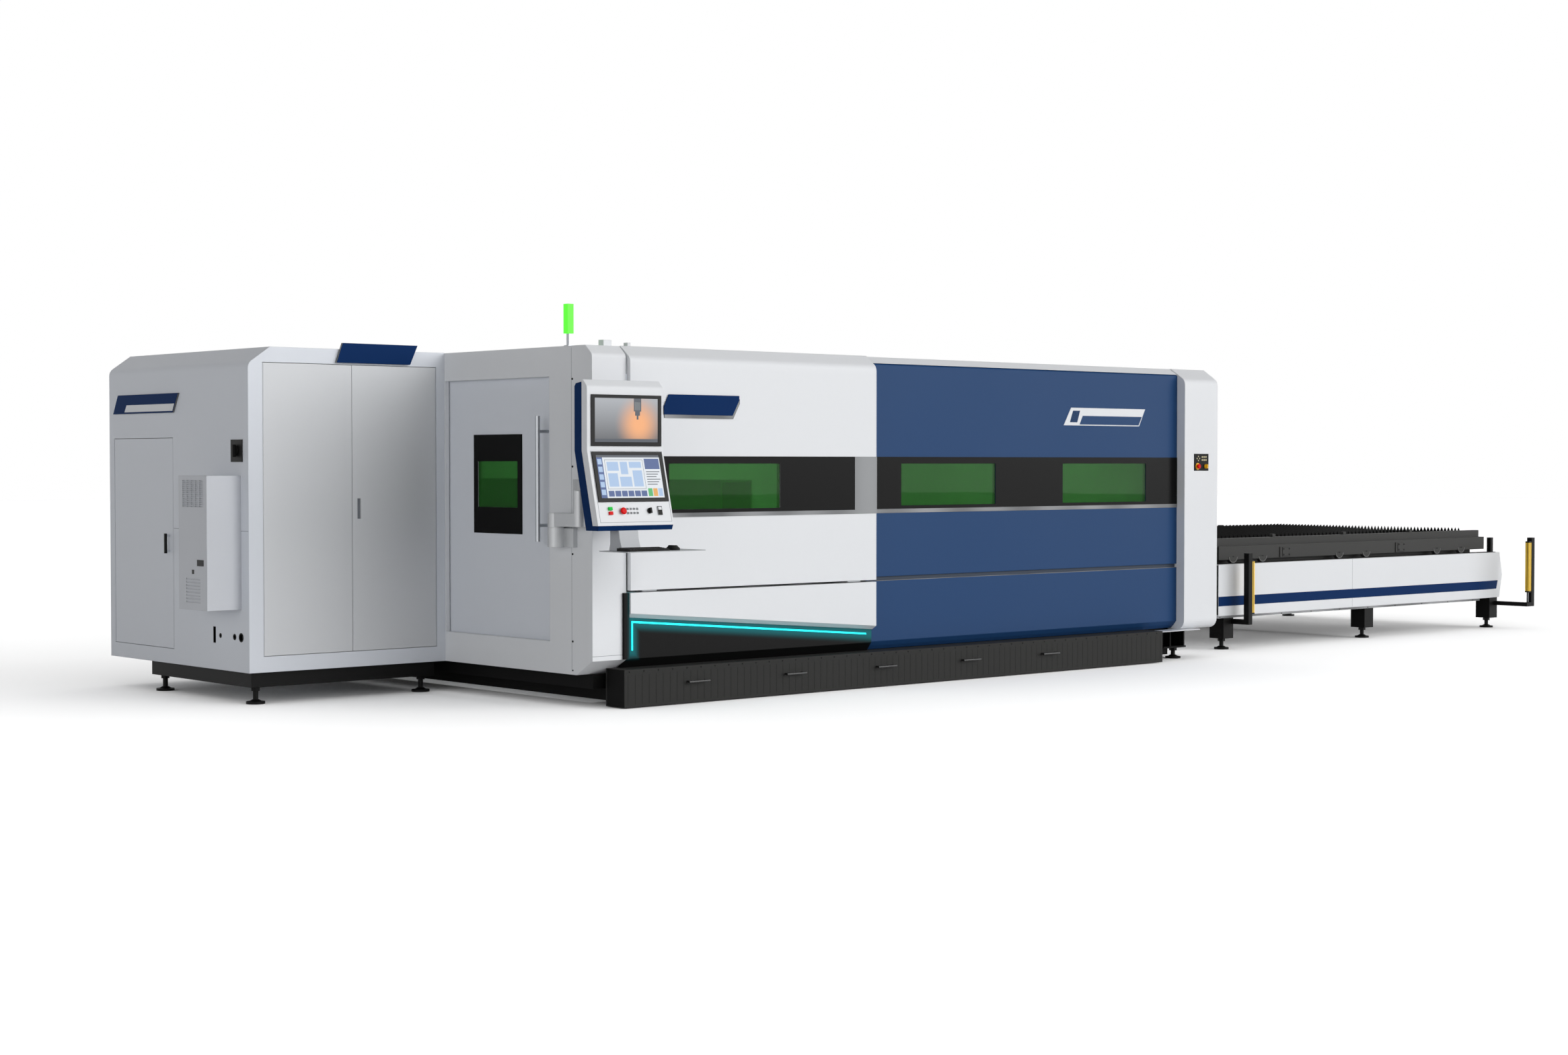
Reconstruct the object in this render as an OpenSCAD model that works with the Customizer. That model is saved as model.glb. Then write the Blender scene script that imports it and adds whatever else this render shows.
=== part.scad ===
// Enclosed flat-bed laser cutter with a shuttle table, in millimetres.
// X runs along the front to the right, Y to the back, Z up from the floor.

/* [Enclosure] */
// Length from the left end to the portal
body_l = 5818; // [5720:1:5980]
// Depth from the front strip to the back wall
body_d = 3200; // [3160:1:3260]
// Height of the roof
roof_z = 2297; // [2290:1:2330]
// Lower edge of the end wall
skirt_z = 208; // [195:1:220]
// Thickness of walls and roof
wall_t = 30; // [24:1:34]
// Width of the portal
column_w = 411; // [380:1:450]
// Height of the pallet passage
passage_z = 1080; // [1020:1:1120]

/* [Front hood and windows] */
// Length of the sliding hood
hood_l = 2167; // [2100:1:2240]
// Thickness of the hood
hood_t = 35; // [30:1:38]
// Lower edge of the dark window band
band_z = 1231; // [1215:1:1250]
// Height of the dark window band
band_h = 366; // [340:1:380]
// Length of a window pane in the fixed panel
pane_l = 969; // [800:1:1000]
// Length of the hood's window pane
hood_pane_l = 958; // [800:1:1100]

/* [End door] */
// Width of the door opening
door_w = 1190; // [1140:1:1195]
// Height of the door opening
door_h = 1698; // [1600:1:1710]
// Diameter of the tube handle
grip_d = 30; // [24:1:34]

/* [Cabinet] */
// Width of the cabinet
cab_w = 1491; // [1420:1:1560]
// Depth of the cabinet
cab_d = 1937; // [1900:1:2000]
// Height of the cabinet roof
cab_z = 2300; // [2290:1:2340]
// Depth of the cooling unit on the cabinet's side
cooler_d = 242; // [200:1:280]
// Louvres of the cooling unit
louvres = 14; // [8:1:18]

/* [Console] */
// Width of the console
console_w = 593; // [585:1:620]
// Height of the fold between the two screens
fold_z = 1629; // [1620:1:1640]
// Width of the keyboard tray
tray_w = 614; // [560:1:640]

/* [Shuttle table] */
// Length of the pallet
pallet_l = 4000; // [3900:1:4030]
// Room between the pallet and the enclosure's front and back
side_room = 435; // [425:1:455]
// Spacing of the slats
slat_pitch = 55; // [50:1:80]
// Spacing of the teeth on a slat
tooth_pitch = 80; // [70:1:140]
// Thickness of a slat
slat_t = 4; // [3:0.5:6]
// Radius of a pallet wheel
wheel_r = 40; // [36:1:44]

/* [Feet and handles] */
// Diameter of a foot disc
foot_d = 122; // [100:1:130]
// Handles on the plinth cover
plinth_grips = 5; // [3:1:6]

/* [Hidden] */
$fn = 48;

// Colours
white = [0.89, 0.9, 0.92];
side_grey = [0.63, 0.65, 0.69];
blue = [0.22, 0.31, 0.47];
navy = [0.1, 0.21, 0.38];
black = [0.14, 0.14, 0.14];
iron = [0.24, 0.24, 0.24];
steel = [0.66, 0.67, 0.69];
green_glass = [0.24, 0.42, 0.22];
yellow = [1, 0.8, 0.25];
red = [0.85, 0.08, 0.08];

// Running gap between pieces that move past each other
run = 0.3;

// Enclosure faces
mid_line = body_d / 2 - 5;
strip_l = 270;
hood_x0 = 280;
hood_x1 = hood_x0 + hood_l;
hood_y = -32;
hood_z = 742;
panel_y = 43;
light_y = 10;
fixed_x0 = hood_x1 - 7;
fixed_top = roof_z - 47;
track_z = 728;
plinth_y = -100;
plinth_top = 247;
plinth_x0 = 176;
plinth_x1 = body_l - 343;
column_y = -35;
column_x1 = body_l + column_w;

// Window panes
pane_z0 = band_z + 23;
pane_z1 = band_z + band_h - 47;
hood_pane_x = 592;
pane_room = body_l - fixed_x0 - 2 * pane_l;
fixed_pane_x = [fixed_x0 + pane_room * 2 / 9, body_l - pane_l - pane_room * 4 / 15];

// End door
door_y0 = 452;
door_z0 = 409;
door_x0 = 38;
door_x1 = 68;
door_lap = 22;
grip_x = -45;
grip_y = 517;

// Bed
bed_x0 = strip_l + 5;
bed_z0 = 35;
sill_x0 = 225;
beam_y0 = 130;
pallet_w = body_d - 2 * side_room;
beam_y1 = mid_line - pallet_w / 2 - 35;
beam_z1 = 1060;
rail_h = 40;
rail_y = 250;

// Shuttle table, with its rails at one height inside and outside
rail_top = 716;
pallet_y = mid_line - pallet_w / 2;
pallet_x0 = column_x1 + 623;
pallet_x1 = pallet_x0 + pallet_l;
wheel_z = rail_top + run + wheel_r;
table_x0 = column_x1 + 511;
table_x1 = pallet_x1 + 258;
table_y = pallet_y - 85;
table_z0 = 287;
table_z1 = 713;
leg_x = [column_x1 + 693, column_x1 + 2701, pallet_x1 + 93];
leg_w = 131;
leg_z0 = 93;

// Cabinet
cab_y0 = 1651;
cab_y1 = cab_y0 + cab_d;
cab_t = 25;
leaf_t = 22;
cab_door_x0 = -cab_w + 104;
cab_door_x1 = -67;
cab_door_z0 = 310;
cab_door_z1 = cab_z - 100;
cab_mid = (cab_door_x0 + cab_door_x1) / 2;
access_y0 = cab_y1 - 928;
access_y1 = cab_y1 - 71;
access_z0 = 308;
access_z1 = 1723;

// Console and its arm
hub = [-62, 297];
post = [-62, 49];
post_d = 84;
post_z = 1380;
console_x0 = -289;
console_x1 = console_x0 + console_w;
console_y = -330;
desk_y = -440;
console_z0 = 1170;
console_z1 = 2064;
crown_h = 43;
crown_d = 42;
desk_tilt = atan((console_y - desk_y) / (fold_z - console_z0));
shell_t = 54;
tray_y0 = -612;
tray_z = 1010;
tray_t = 6;

// The floor centre of the whole outline
mid_x = (-cab_w - cooler_d + table_x1) / 2;
mid_y = (tray_y0 + cab_y1) / 2;

// Moves a piece so that the floor centre of the machine is the origin
module place() {
    translate([-mid_x, -mid_y, 0])
        children();
}

// A block between its low and its high corner
module span(a, b) {
    translate(a)
        cube(b - a);
}

// A Y-Z outline drawn along X
module along_x(x0, x1) {
    translate([x0, 0, 0])
        rotate([90, 0, 90])
            linear_extrude(x1 - x0)
                children();
}

// An X-Z outline drawn along Y
module along_y(y0, y1) {
    translate([0, y1, 0])
        rotate([90, 0, 0])
            linear_extrude(y1 - y0)
                children();
}

// A piece and its mirror image across the machine's centre line
module both_sides() {
    children();
    translate([0, 2 * mid_line, 0])
        mirror([0, 1, 0])
            children();
}

// Points of a bend of radius r at corner b between a and c
function bend(a, b, c, r, n = 5) =
    let (
        u = (a - b) / norm(a - b),
        v = (c - b) / norm(c - b),
        half = acos(u * v) / 2,
        mid = b + (u + v) / norm(u + v) * r / sin(half),
        p = b + u * r / tan(half) - mid,
        q = b + v * r / tan(half) - mid,
        from = atan2(p[1], p[0]),
        turn = atan2(q[1], q[0]) - from,
        sweep = turn > 180 ? turn - 360 : turn < -180 ? turn + 360 : turn
    )
    [for (i = [0 : n]) mid + r * [cos(from + sweep * i / n), sin(from + sweep * i / n)]];

// Moves a piece onto the tilted lower face of the console, z counted down from the fold
module on_desk(x, z) {
    translate([0, console_y, fold_z])
        rotate([-desk_tilt, 0, 0])
            translate([x, 0, -z])
                children();
}

// Outline of the end wall with its front bevel and roof chamfer
end_outline = concat(
    [[168, skirt_z], [0, skirt_z + 96]],
    bend([0, 300], [0, roof_z - 60], [69, roof_z], 40),
    [[69, roof_z], [body_d, roof_z], [body_d, skirt_z]]
);
strip_outline = concat(
    [[168, skirt_z], [0, skirt_z + 96]],
    bend([0, 300], [0, roof_z - 60], [69, roof_z], 40),
    [[69, roof_z], [110, roof_z], [110, roof_z - wall_t], [84, roof_z - wall_t]],
    [[wall_t, roof_z - 77], [wall_t, skirt_z + 116], [180, skirt_z + 30]]
);

module end_panel() {
    place() color(side_grey) {
        difference() {
            along_x(0, wall_t)
                polygon(end_outline);
            span([-1, door_y0, door_z0], [wall_t + 1, door_y0 + door_w, door_z0 + door_h]);
        }
        along_x(wall_t, strip_l)
            polygon(strip_outline);
        // Upper and lower tracks of the sliding door
        span(
            [wall_t, door_y0 - 40, door_z0 - 45],
            [door_x1 + 12, door_y0 + 2 * door_w - 50, door_z0 - door_lap - run]
        );
        span(
            [wall_t, door_y0 - 40, door_z0 + door_h + door_lap + run],
            [door_x1 + 12, door_y0 + 2 * door_w - 50, door_z0 + door_h + 45]
        );
    }
}

module roof_panel() {
    outline = [
        [panel_y, fixed_top], [112, roof_z - 4], [120, roof_z], [body_d, roof_z],
        [body_d, roof_z - wall_t], [112, roof_z - wall_t], [84, fixed_top]
    ];
    place() color(white) {
        along_x(strip_l, body_l)
            polygon(outline);
        span([wall_t, 110, roof_z - wall_t], [strip_l, body_d, roof_z]);
        // Bumper blocks for the hood's end stops
        span([182, 118, roof_z], [246, 170, roof_z + 40]);
        span([380, 124, roof_z], [404, 164, roof_z + 28]);
    }
}

module rear_panel() {
    bay = (body_l - 160) / 4;
    place() color(side_grey)
        difference() {
            span([wall_t, body_d - wall_t, skirt_z], [body_l, body_d, roof_z - wall_t]);
            // Shallow panel fields
            for (i = [0 : 3])
                span(
                    [110 + i * bay, body_d - 6, skirt_z + 120],
                    [30 + (i + 1) * bay, body_d + 1, roof_z - 240]
                );
            // Duct for the fume pipe
            translate([110 + 3.45 * bay, body_d + 1, 620])
                rotate([90, 0, 0])
                    cylinder(d = 250, h = wall_t + 2);
        }
}

// Welded bed: two box beams with gantry rails and pallet rails, cross tubes and the portal's base channel
module bed_frame() {
    tube = 14;
    place() color(iron) {
        both_sides() {
            bed_corner();
            difference() {
                span([bed_x0, beam_y0, bed_z0], [body_l, beam_y1, beam_z1]);
                span(
                    [bed_x0 - 1, beam_y0 + tube, bed_z0 + tube],
                    [body_l - tube, beam_y1 - tube, beam_z1 - tube]
                );
            }
            span([bed_x0 + 40, rail_y - 18, beam_z1], [body_l - 40, rail_y + 18, beam_z1 + rail_h]);
            span([bed_x0 + 40, beam_y1, rail_top - 76], [table_x0 - 40, beam_y1 + 75, rail_top]);
            base_channel();
        }
        for (i = [0 : 3])
            cross_tube(bed_x0 + 260 + i * (body_l - bed_x0 - 640) / 3);
        // Sill across the left end and the beam that carries the end wall
        span([sill_x0, beam_y0, bed_z0], [bed_x0, 2 * mid_line - beam_y0, skirt_z - 8]);
        span([100, beam_y0, 115], [sill_x0, 2 * mid_line - beam_y0, skirt_z]);
    }
}

// Bracket for the corner foot beside the plinth
module bed_corner() {
    span([bed_x0, 66, 120], [bed_x0 + 84, beam_y0, 150]);
}

module cross_tube(x) {
    difference() {
        span([x, beam_y1, 120], [x + 120, 2 * mid_line - beam_y1, 300]);
        span([x + 10, beam_y1 - 1, 130], [x + 110, 2 * mid_line - beam_y1 + 1, 290]);
    }
}

module base_channel() {
    difference() {
        span([body_l - 43, 72, 100], [body_l + 140, beam_y1, 238]);
        span([body_l - 29, 60, 101], [body_l + 126, beam_y1 - 30, 226]);
    }
    span([body_l - 125, 66, 88], [body_l + 152, beam_y1, 101]);
}

// Foot with a disc, a collar, a screw and a lock nut under a frame at height top
module foot(x, y, top) {
    translate([x, y, 0]) {
        cylinder(d = foot_d, h = 16);
        translate([0, 0, 16])
            cylinder(d1 = foot_d * 0.7, d2 = 46, h = 12);
        cylinder(d = 34, h = top);
        if (top > 80)
            translate([0, 0, top - 26])
                cylinder(d = 62, h = 26, $fn = 6);
    }
}

module levelling_feet() {
    place() color(black) {
        both_sides() {
            foot(bed_x0 + 42, 98, 120);
            for (x = [(bed_x0 + body_l) / 2, body_l - 300])
                foot(x, beam_y0 + 75, bed_z0);
            foot(body_l + 69, 131, 88);
            for (x = leg_x)
                foot(x, pallet_y + 25, leg_z0);
        }
        for (x = [-cab_w + 104, -130])
            for (y = [cab_y0 + 110, cab_y1 - 597])
                foot(x, y, 110);
    }
}

// White panel under the hood: its lower edge slants down to the right and is bevelled back
module lower_front_panel() {
    slope = atan(175 / hood_l);
    place() color(white)
        difference() {
            span([hood_x0, hood_y, 360], [hood_x1, light_y, track_z]);
            translate([hood_x0, hood_y, 597])
                rotate([0, slope, 0])
                    rotate([-33, 0, 0])
                        span([-200, -200, -500], [hood_l + 400, 400, 0]);
        }
}

// Dark panel below, folded in at the bottom and carrying the hood's track at the top
module light_panel() {
    outline = [
        [light_y, 305], [light_y, track_z], [panel_y + 20, track_z], [panel_y + 20, track_z - 30],
        [light_y + wall_t, track_z - 30], [light_y + wall_t, 318], [86, plinth_top], [55, plinth_top]
    ];
    place() color(black) {
        along_x(strip_l, fixed_x0)
            polygon(outline);
        // Cheek beside the white panel, lapping over the end block
        span([strip_l - 32, -20, 305], [hood_x0, 0, track_z]);
        span([strip_l, 0, 305], [hood_x0, light_y, track_z]);
    }
}

module light_strip() {
    w = 11;
    a = [318, 546];
    b = [hood_x1 - 61, 373];
    place() color([0.2, 0.95, 1])
        along_y(light_y - 3, light_y)
            polygon([a, b, b - [0, w], [a[0] + w, a[1] - w - 2], [a[0] + w, 357], [a[0], 357]]);
}

// Fixed blue panel with two windows, a track groove and a lip folded in at the bottom
module fixed_front_panel() {
    outline = [
        [panel_y, 306], [panel_y, track_z], [panel_y + 20, track_z], [panel_y + 20, track_z + 30],
        [panel_y, track_z + 30], [panel_y, fixed_top - 12], [panel_y + 12, fixed_top],
        [panel_y + wall_t, fixed_top], [panel_y + wall_t, 316], [94, 286],
        [120, plinth_top + 1], [97, plinth_top + 1], [70, 273]
    ];
    place() color(blue)
        difference() {
            along_x(fixed_x0, body_l)
                polygon(outline);
            for (x = fixed_pane_x)
                span([x, 0, pane_z0], [x + pane_l, 100, pane_z1]);
        }
}

module fixed_panel_glass() {
    place() color(black)
        difference() {
            span([fixed_x0, panel_y - 3, band_z], [body_l, panel_y, band_z + band_h]);
            for (x = fixed_pane_x)
                span([x, 0, pane_z0], [x + pane_l, 100, pane_z1]);
        }
}

module fixed_panel_windows() {
    place() color(green_glass)
        for (x = fixed_pane_x)
            span([x, panel_y + 2, pane_z0], [x + pane_l, panel_y + 10, pane_z1]);
}

// Bright strip under the window band and the lining of the hood's track
module fixed_panel_trim() {
    place() color(steel) {
        span([fixed_x0, panel_y - 4, band_z - 28], [body_l, panel_y, band_z]);
        span([strip_l, panel_y, track_z], [body_l, panel_y + 20, track_z + 3]);
    }
}

// Folded plinth cover on brackets, open at the back
module plinth_cover() {
    sheet = 6;
    pitch = (plinth_x1 - bed_x0 - 460) / 5;
    place() color(iron) {
        span([plinth_x0, plinth_y, 6], [plinth_x1, plinth_y + sheet, plinth_top]);
        span([plinth_x0, plinth_y + sheet, plinth_top - sheet], [plinth_x1, 92, plinth_top]);
        span([plinth_x0, plinth_y + sheet, 6], [plinth_x0 + sheet, 92, plinth_top - sheet]);
        for (i = [0 : 5])
            span(
                [bed_x0 + 200 + i * pitch, 40, plinth_top - 50],
                [bed_x0 + 260 + i * pitch, beam_y0, plinth_top - sheet]
            );
    }
}

module plinth_handles() {
    pitch = (plinth_x1 - 1240) / plinth_grips;
    z = 144;
    place() color(black)
        for (i = [0 : plinth_grips - 1])
            translate([764 + i * pitch, plinth_y, z])
                bar_handle(175, 34, 14);
}

// Bar handle of length l standing off a front face by h
module bar_handle(l, h, d) {
    for (s = [-1, 1])
        translate([s * (l / 2 - d), 0, 0])
            rotate([90, 0, 0])
                cylinder(d = d, h = h);
    translate([-l / 2, -h, 0])
        rotate([0, 90, 0])
            cylinder(d = d, h = l);
}

// Portal: two hollow columns and a header round the pallet passage, with the shutter's slot above it
module portal_frame() {
    outline = concat(
        bend([-35, 400], [column_y, 238], [200, 238], 75, 8),
        [[body_d, 238], [body_d, roof_z + 1], [105, roof_z + 1]],
        bend([105, roof_z + 1], [column_y, roof_z - 94], [column_y, 400], 60)
    );
    y0 = beam_y1;
    y1 = 2 * mid_line - beam_y1;
    place() color(white) {
        difference() {
            along_x(body_l, column_x1)
                polygon(outline);
            span([body_l - 1, y0, 0], [column_x1 + 1, y1, passage_z]);
            span([body_l + wall_t, 60, 200], [column_x1 - wall_t, y0 - wall_t, roof_z - 120]);
            span([body_l + wall_t, y1 + wall_t, 200], [column_x1 - wall_t, body_d - wall_t, roof_z - 120]);
            span([body_l + wall_t, y0, passage_z + wall_t], [column_x1 - wall_t, y1, roof_z - wall_t]);
            span([body_l + 90, y0 + 20, passage_z - 1], [body_l + 230, y1 - 20, passage_z + wall_t + 1]);
            column_wells();
        }
        span([column_x1, 100, 250], [column_x1 + 33, y0, 925]);
        span([plinth_x1 - 10, -60, 232], [body_l + 170, 70, 238]);
    }
}

// Wells for the column's push button and turn switch
module column_wells() {
    for (x = [159, 257])
        translate([body_l + x, column_y - 4, 1528])
            rotate([-90, 0, 0])
                cylinder(d = 22.6, h = 20);
}

module column_plate() {
    place() color(black)
        difference() {
            span([body_l + 116, column_y - 3, 1493], [body_l + 295, column_y, 1627]);
            column_wells();
        }
}

// Mushroom button with a stem, pointing along +Z from the face it stands on
module mushroom(d) {
    translate([0, 0, -4])
        cylinder(d = 22, h = 12);
    translate([0, 0, 8])
        cylinder(d1 = d * 0.82, d2 = d, h = 8);
    translate([0, 0, 16])
        cylinder(d1 = d, d2 = d * 0.7, h = 6);
}

module column_stop_button() {
    place() color(red)
        translate([body_l + 159, column_y - 3, 1528])
            rotate([90, 0, 0])
                mushroom(40);
}

module column_switch() {
    place() color(yellow)
        translate([body_l + 257, column_y - 3, 1528])
            rotate([90, 0, 0]) {
                translate([0, 0, -6])
                    cylinder(d = 22, h = 6);
                translate([0, 0, run])
                    cylinder(d = 34, h = 10);
                translate([-5, -16, 10])
                    cube([10, 32, 14]);
                translate([0, 0, -1])
                    cylinder(d = 20, h = 4);
            }
}

// Sliding hood: a thick panel that thins into a sheet bent back over the roof's edge
module front_door() {
    bend_z = roof_z - 77;
    outline = concat(
        [[hood_y, hood_z]],
        bend([hood_y, hood_z], [hood_y, bend_z], [73, roof_z + 3], 60),
        [[73, roof_z + 3], [76.6, roof_z - 1.8]],
        bend([76.6, roof_z - 1.8], [hood_y + 6, bend_z - 3], [hood_y + 6, hood_z], 54),
        [[hood_y + 6, bend_z - 80], [hood_y + hood_t, bend_z - 110], [hood_y + hood_t, hood_z]]
    );
    cheek = concat(
        [[hood_y + 3, bend_z - 115]],
        bend([hood_y + 3, hood_z], [hood_y + 3, bend_z - 1.5], [74.8, roof_z + 0.6], 57),
        [[74.8, roof_z + 0.6], [78, roof_z - 18], [20, roof_z - 60]],
        [[hood_y + hood_t - 1, roof_z - 84], [hood_y + hood_t - 1, bend_z - 115]]
    );
    place() color(white) {
        difference() {
            along_x(hood_x0, hood_x1)
                polygon(outline);
            span([hood_pane_x, -100, pane_z0], [hood_pane_x + hood_pane_l, 100, pane_z1]);
        }
        // Cheeks that close the ends above the roof's edge
        for (x = [hood_x0, hood_x1 - 6])
            along_x(x, x + 6)
                polygon(cheek);
        // Runners that stand in the track
        for (x = [hood_x0 + 120, hood_x1 - 240])
            span([x, hood_y + hood_t, track_z + 3 + run], [x + 120, panel_y + 16, hood_z + 12]);
    }
}

module front_door_glass() {
    place() color(black)
        difference() {
            span([hood_x0 + 20, hood_y - 4, band_z], [hood_x1 - 209, hood_y, band_z + band_h]);
            span([hood_pane_x, -100, pane_z0], [hood_pane_x + hood_pane_l, 100, pane_z1]);
        }
}

module front_door_window() {
    place() color(green_glass)
        span([hood_pane_x, hood_y + 2, pane_z0], [hood_pane_x + hood_pane_l, hood_y + 10, pane_z1]);
}

// Bright strip under the band, widening into the end piece
module front_door_trim() {
    x0 = hood_x0 + 20;
    x1 = hood_x1 - 209;
    place() color(steel)
        along_y(hood_y - 5, hood_y)
            polygon([
                [x0, band_z - 27], [hood_x1, band_z - 27], [hood_x1, band_z + band_h],
                [x1, band_z + band_h], [x1, band_z], [x0, band_z]
            ]);
}

module end_door_opening() {
    span([0, door_y0 + 401, band_z + 30], [100, door_y0 + 856, band_z + 334]);
}

module end_door() {
    place() color(side_grey)
        difference() {
            span(
                [door_x0, door_y0 - door_lap, door_z0 - door_lap],
                [door_x1, door_y0 + door_w + door_lap, door_z0 + door_h + door_lap]
            );
            end_door_opening();
        }
}

module end_door_glass() {
    place() color(black)
        difference() {
            span([door_x0 - 4, door_y0 + 350, band_z - 144], [door_x0, door_y0 + 902, band_z + 511]);
            end_door_opening();
        }
}

module end_door_window() {
    place() color(green_glass)
        span([door_x0 + 2, door_y0 + 401, band_z + 30], [door_x0 + 10, door_y0 + 856, band_z + 334]);
}

module end_door_handle() {
    place() color(steel) {
        translate([grip_x, grip_y, 1048])
            cylinder(d = grip_d, h = 808);
        for (z = [1152, 1757])
            translate([grip_x, grip_y, z])
                rotate([0, 90, 0])
                    cylinder(d = grip_d * 0.7, h = door_x0 - grip_x);
    }
}

module signal_mast() {
    place() color(steel) {
        span([12, 262, roof_z], [52, 308, roof_z + 6]);
        span([24, 272, roof_z + 6], [40, 298, roof_z + 80]);
    }
}

module signal_lamp() {
    place() color([0.3, 1, 0.2])
        span([8, 262, roof_z + 80], [54, 308, roof_z + 268]);
}

// Fixed half of the arm's hinge on the end wall
module arm_bracket() {
    place() color(side_grey) {
        translate([hub[0], hub[1], 1019])
            cylinder(d = 108, h = 126);
        span([hub[0], hub[1] - 48, 1030], [0, hub[1] + 48, 1140]);
        span([-34, 155, 1019], [0, hub[1], 1140]);
    }
}

module swing_arm() {
    place() color(side_grey) {
        translate([hub[0], hub[1], 1145 + run])
            cylinder(d = 108, h = 91 - run);
        span([hub[0] - 42, post[1], 1152], [hub[0] + 42, hub[1], 1236]);
        translate([post[0], post[1], 1152])
            cylinder(d = post_d, h = post_z - 1152);
    }
}

// White front half of the console, folded between the screens, with wells for the push buttons
module console_front() {
    outline = concat(
        [[desk_y, console_z0], [console_y, fold_z]],
        bend([console_y, fold_z], [console_y, console_z1 - crown_h], [console_y + crown_d, console_z1], 30),
        [[console_y + crown_d, console_z1], [console_y + shell_t, console_z1]],
        [[console_y + shell_t, fold_z], [desk_y + shell_t, console_z0]]
    );
    place() color(white) {
        difference() {
            along_x(console_x0, console_x1)
                polygon(outline);
            for (z = [366, 394])
                on_desk(-180, z)
                    span([-13.3, -5, -10.3], [13.3, 10, 10.3]);
            on_desk(-86, 382)
                rotate([-90, 0, 0])
                    translate([0, 0, -5])
                        cylinder(d = 22.6, h = 18);
        }
        // Small keys and a rocker stand proud of the face
        for (i = [0 : 3])
            for (z = [368, 394])
                on_desk(-45 + i * 25, z)
                    span([-7, -4, -7], [7, 2, 7]);
        on_desk(205, 382)
            span([-17, -6, -28], [17, 2, 28]);
    }
}

// Blue rear shell with the bracket that turns on the arm's post
module console_rear() {
    outline = [
        [desk_y + shell_t, console_z0], [console_y + shell_t, fold_z],
        [console_y + shell_t, console_z1 - 12], [-210, console_z1 - 22], [-196, console_z1 - 40],
        [-196, fold_z], [-312, 1140], [-428, 1140],
        [-438, console_z0]
    ];
    place() color(navy) {
        along_x(console_x0 + 6, console_x1 - 6)
            polygon(outline);
        span([post[0] - 36, -300, post_z + run], [post[0] + 36, post[1], post_z + 70]);
        translate([post[0], post[1], post_z + run])
            cylinder(d = post_d, h = 70 - run);
    }
}

// Screen with a raised frame, its face towards -Y and its top left corner at the origin
module screen(w, h) {
    difference() {
        span([0, -8, -h], [w, 0, 0]);
        span([26, -9, -h + 24], [w - 26, -5, -20]);
    }
}

module upper_monitor() {
    place() color(black)
        translate([console_x0 + 29, console_y, fold_z + 344])
            screen(546, 316);
}

module touch_screen() {
    place() color(black)
        on_desk(console_x0 + 29, 8)
            translate([0, -0.05, 0])
                screen(546, 316);
}

module key_cap() {
    span([-13, -12, -10], [13, 5, 10]);
}

module start_button() {
    place() color([0.1, 0.85, 0.25])
        on_desk(-180, 366)
            key_cap();
}

module stop_button() {
    place() color(red)
        on_desk(-180, 394)
            key_cap();
}

module console_stop_button() {
    place() color(red)
        on_desk(-86, 382)
            rotate([90, 0, 0])
                mushroom(44);
}

module mode_knob() {
    place() color(black)
        on_desk(125, 382)
            rotate([90, 0, 0]) {
                translate([0, 0, run])
                    cylinder(d = 34, h = 8);
                translate([-6, -17, run])
                    cube([12, 34, 22]);
            }
}

// Tray on a curved neck below the console
module keyboard_tray() {
    x1 = -197 + tray_w;
    neck = [
        [-428, 1140], [-340, 1140], [-340, 1060], [-330, tray_z + tray_t], [-470, tray_z + tray_t],
        [-452, 1040], [-436, 1085]
    ];
    place() color(white) {
        span([-197, tray_y0, tray_z], [x1, -330, tray_z + tray_t]);
        along_x(-120, 27)
            polygon(neck);
    }
}

module keyboard() {
    z = tray_z + tray_t;
    place() color(black) {
        along_x(-172, 142)
            polygon([[-600, z], [-600, z + 9], [-482, z + 19], [-474, z + 19], [-474, z]]);
        for (row = [0 : 4])
            for (col = [0 : 13])
                translate([-166 + col * 21.8, -596 + row * 22, z + 8 + row * 1.9])
                    cube([18, 18, 6]);
    }
}

module mouse() {
    z = tray_z + tray_t;
    place() color(black)
        hull() {
            for (y = [-560, -520])
                translate([215, y, z])
                    cylinder(d = 60, h = 12, $fn = 32);
            for (y = [-548, -526])
                translate([215, y, z + 12])
                    cylinder(d = 38, h = 18, $fn = 32);
        }
}

// Cabinet shell with openings for the double door, the access door and the cable inlets
module cabinet_shell() {
    outer = concat(
        [[0, skirt_z], [-cab_w, skirt_z]],
        bend([-cab_w, skirt_z], [-cab_w, cab_z - 110], [-cab_w + 160, cab_z], 60),
        [[-cab_w + 160, cab_z], [0, cab_z]]
    );
    inner = [
        [-cab_t, skirt_z + cab_t], [-cab_w + cab_t, skirt_z + cab_t], [-cab_w + cab_t, cab_z - 130],
        [-cab_w + 175, cab_z - 30], [-cab_t, cab_z - 30]
    ];
    place() color(side_grey)
        difference() {
            along_y(cab_y0, cab_y1)
                polygon(outer);
            along_y(cab_y0 + cab_t, cab_y1 - cab_t)
                polygon(inner);
            span([cab_door_x0, cab_y0 - 1, cab_door_z0], [cab_door_x1, cab_y0 + cab_t + 1, cab_door_z1]);
            span([-cab_w - 1, access_y0, access_z0], [-cab_w + cab_t + 1, access_y1, access_z1]);
            span([-cab_w - 1, cab_y0 + 437, 381], [-cab_w + cab_t + 1, cab_y0 + 469, 487]);
            for (hole = [[374, 22], [188, 31], [103, 50]])
                translate([-cab_w - 1, cab_y0 + hole[0], 432])
                    rotate([0, 90, 0])
                        cylinder(d = hole[1], h = cab_t + 2);
        }
}

// Black frame under the cabinet
module cabinet_base() {
    place() color(black)
        difference() {
            span([-cab_w + 41, cab_y0 + 49, 110], [-60, cab_y1 - 527, skirt_z]);
            span([-cab_w + 131, cab_y0 + 139, 109], [-150, cab_y1 - 617, skirt_z + 1]);
        }
}

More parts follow.
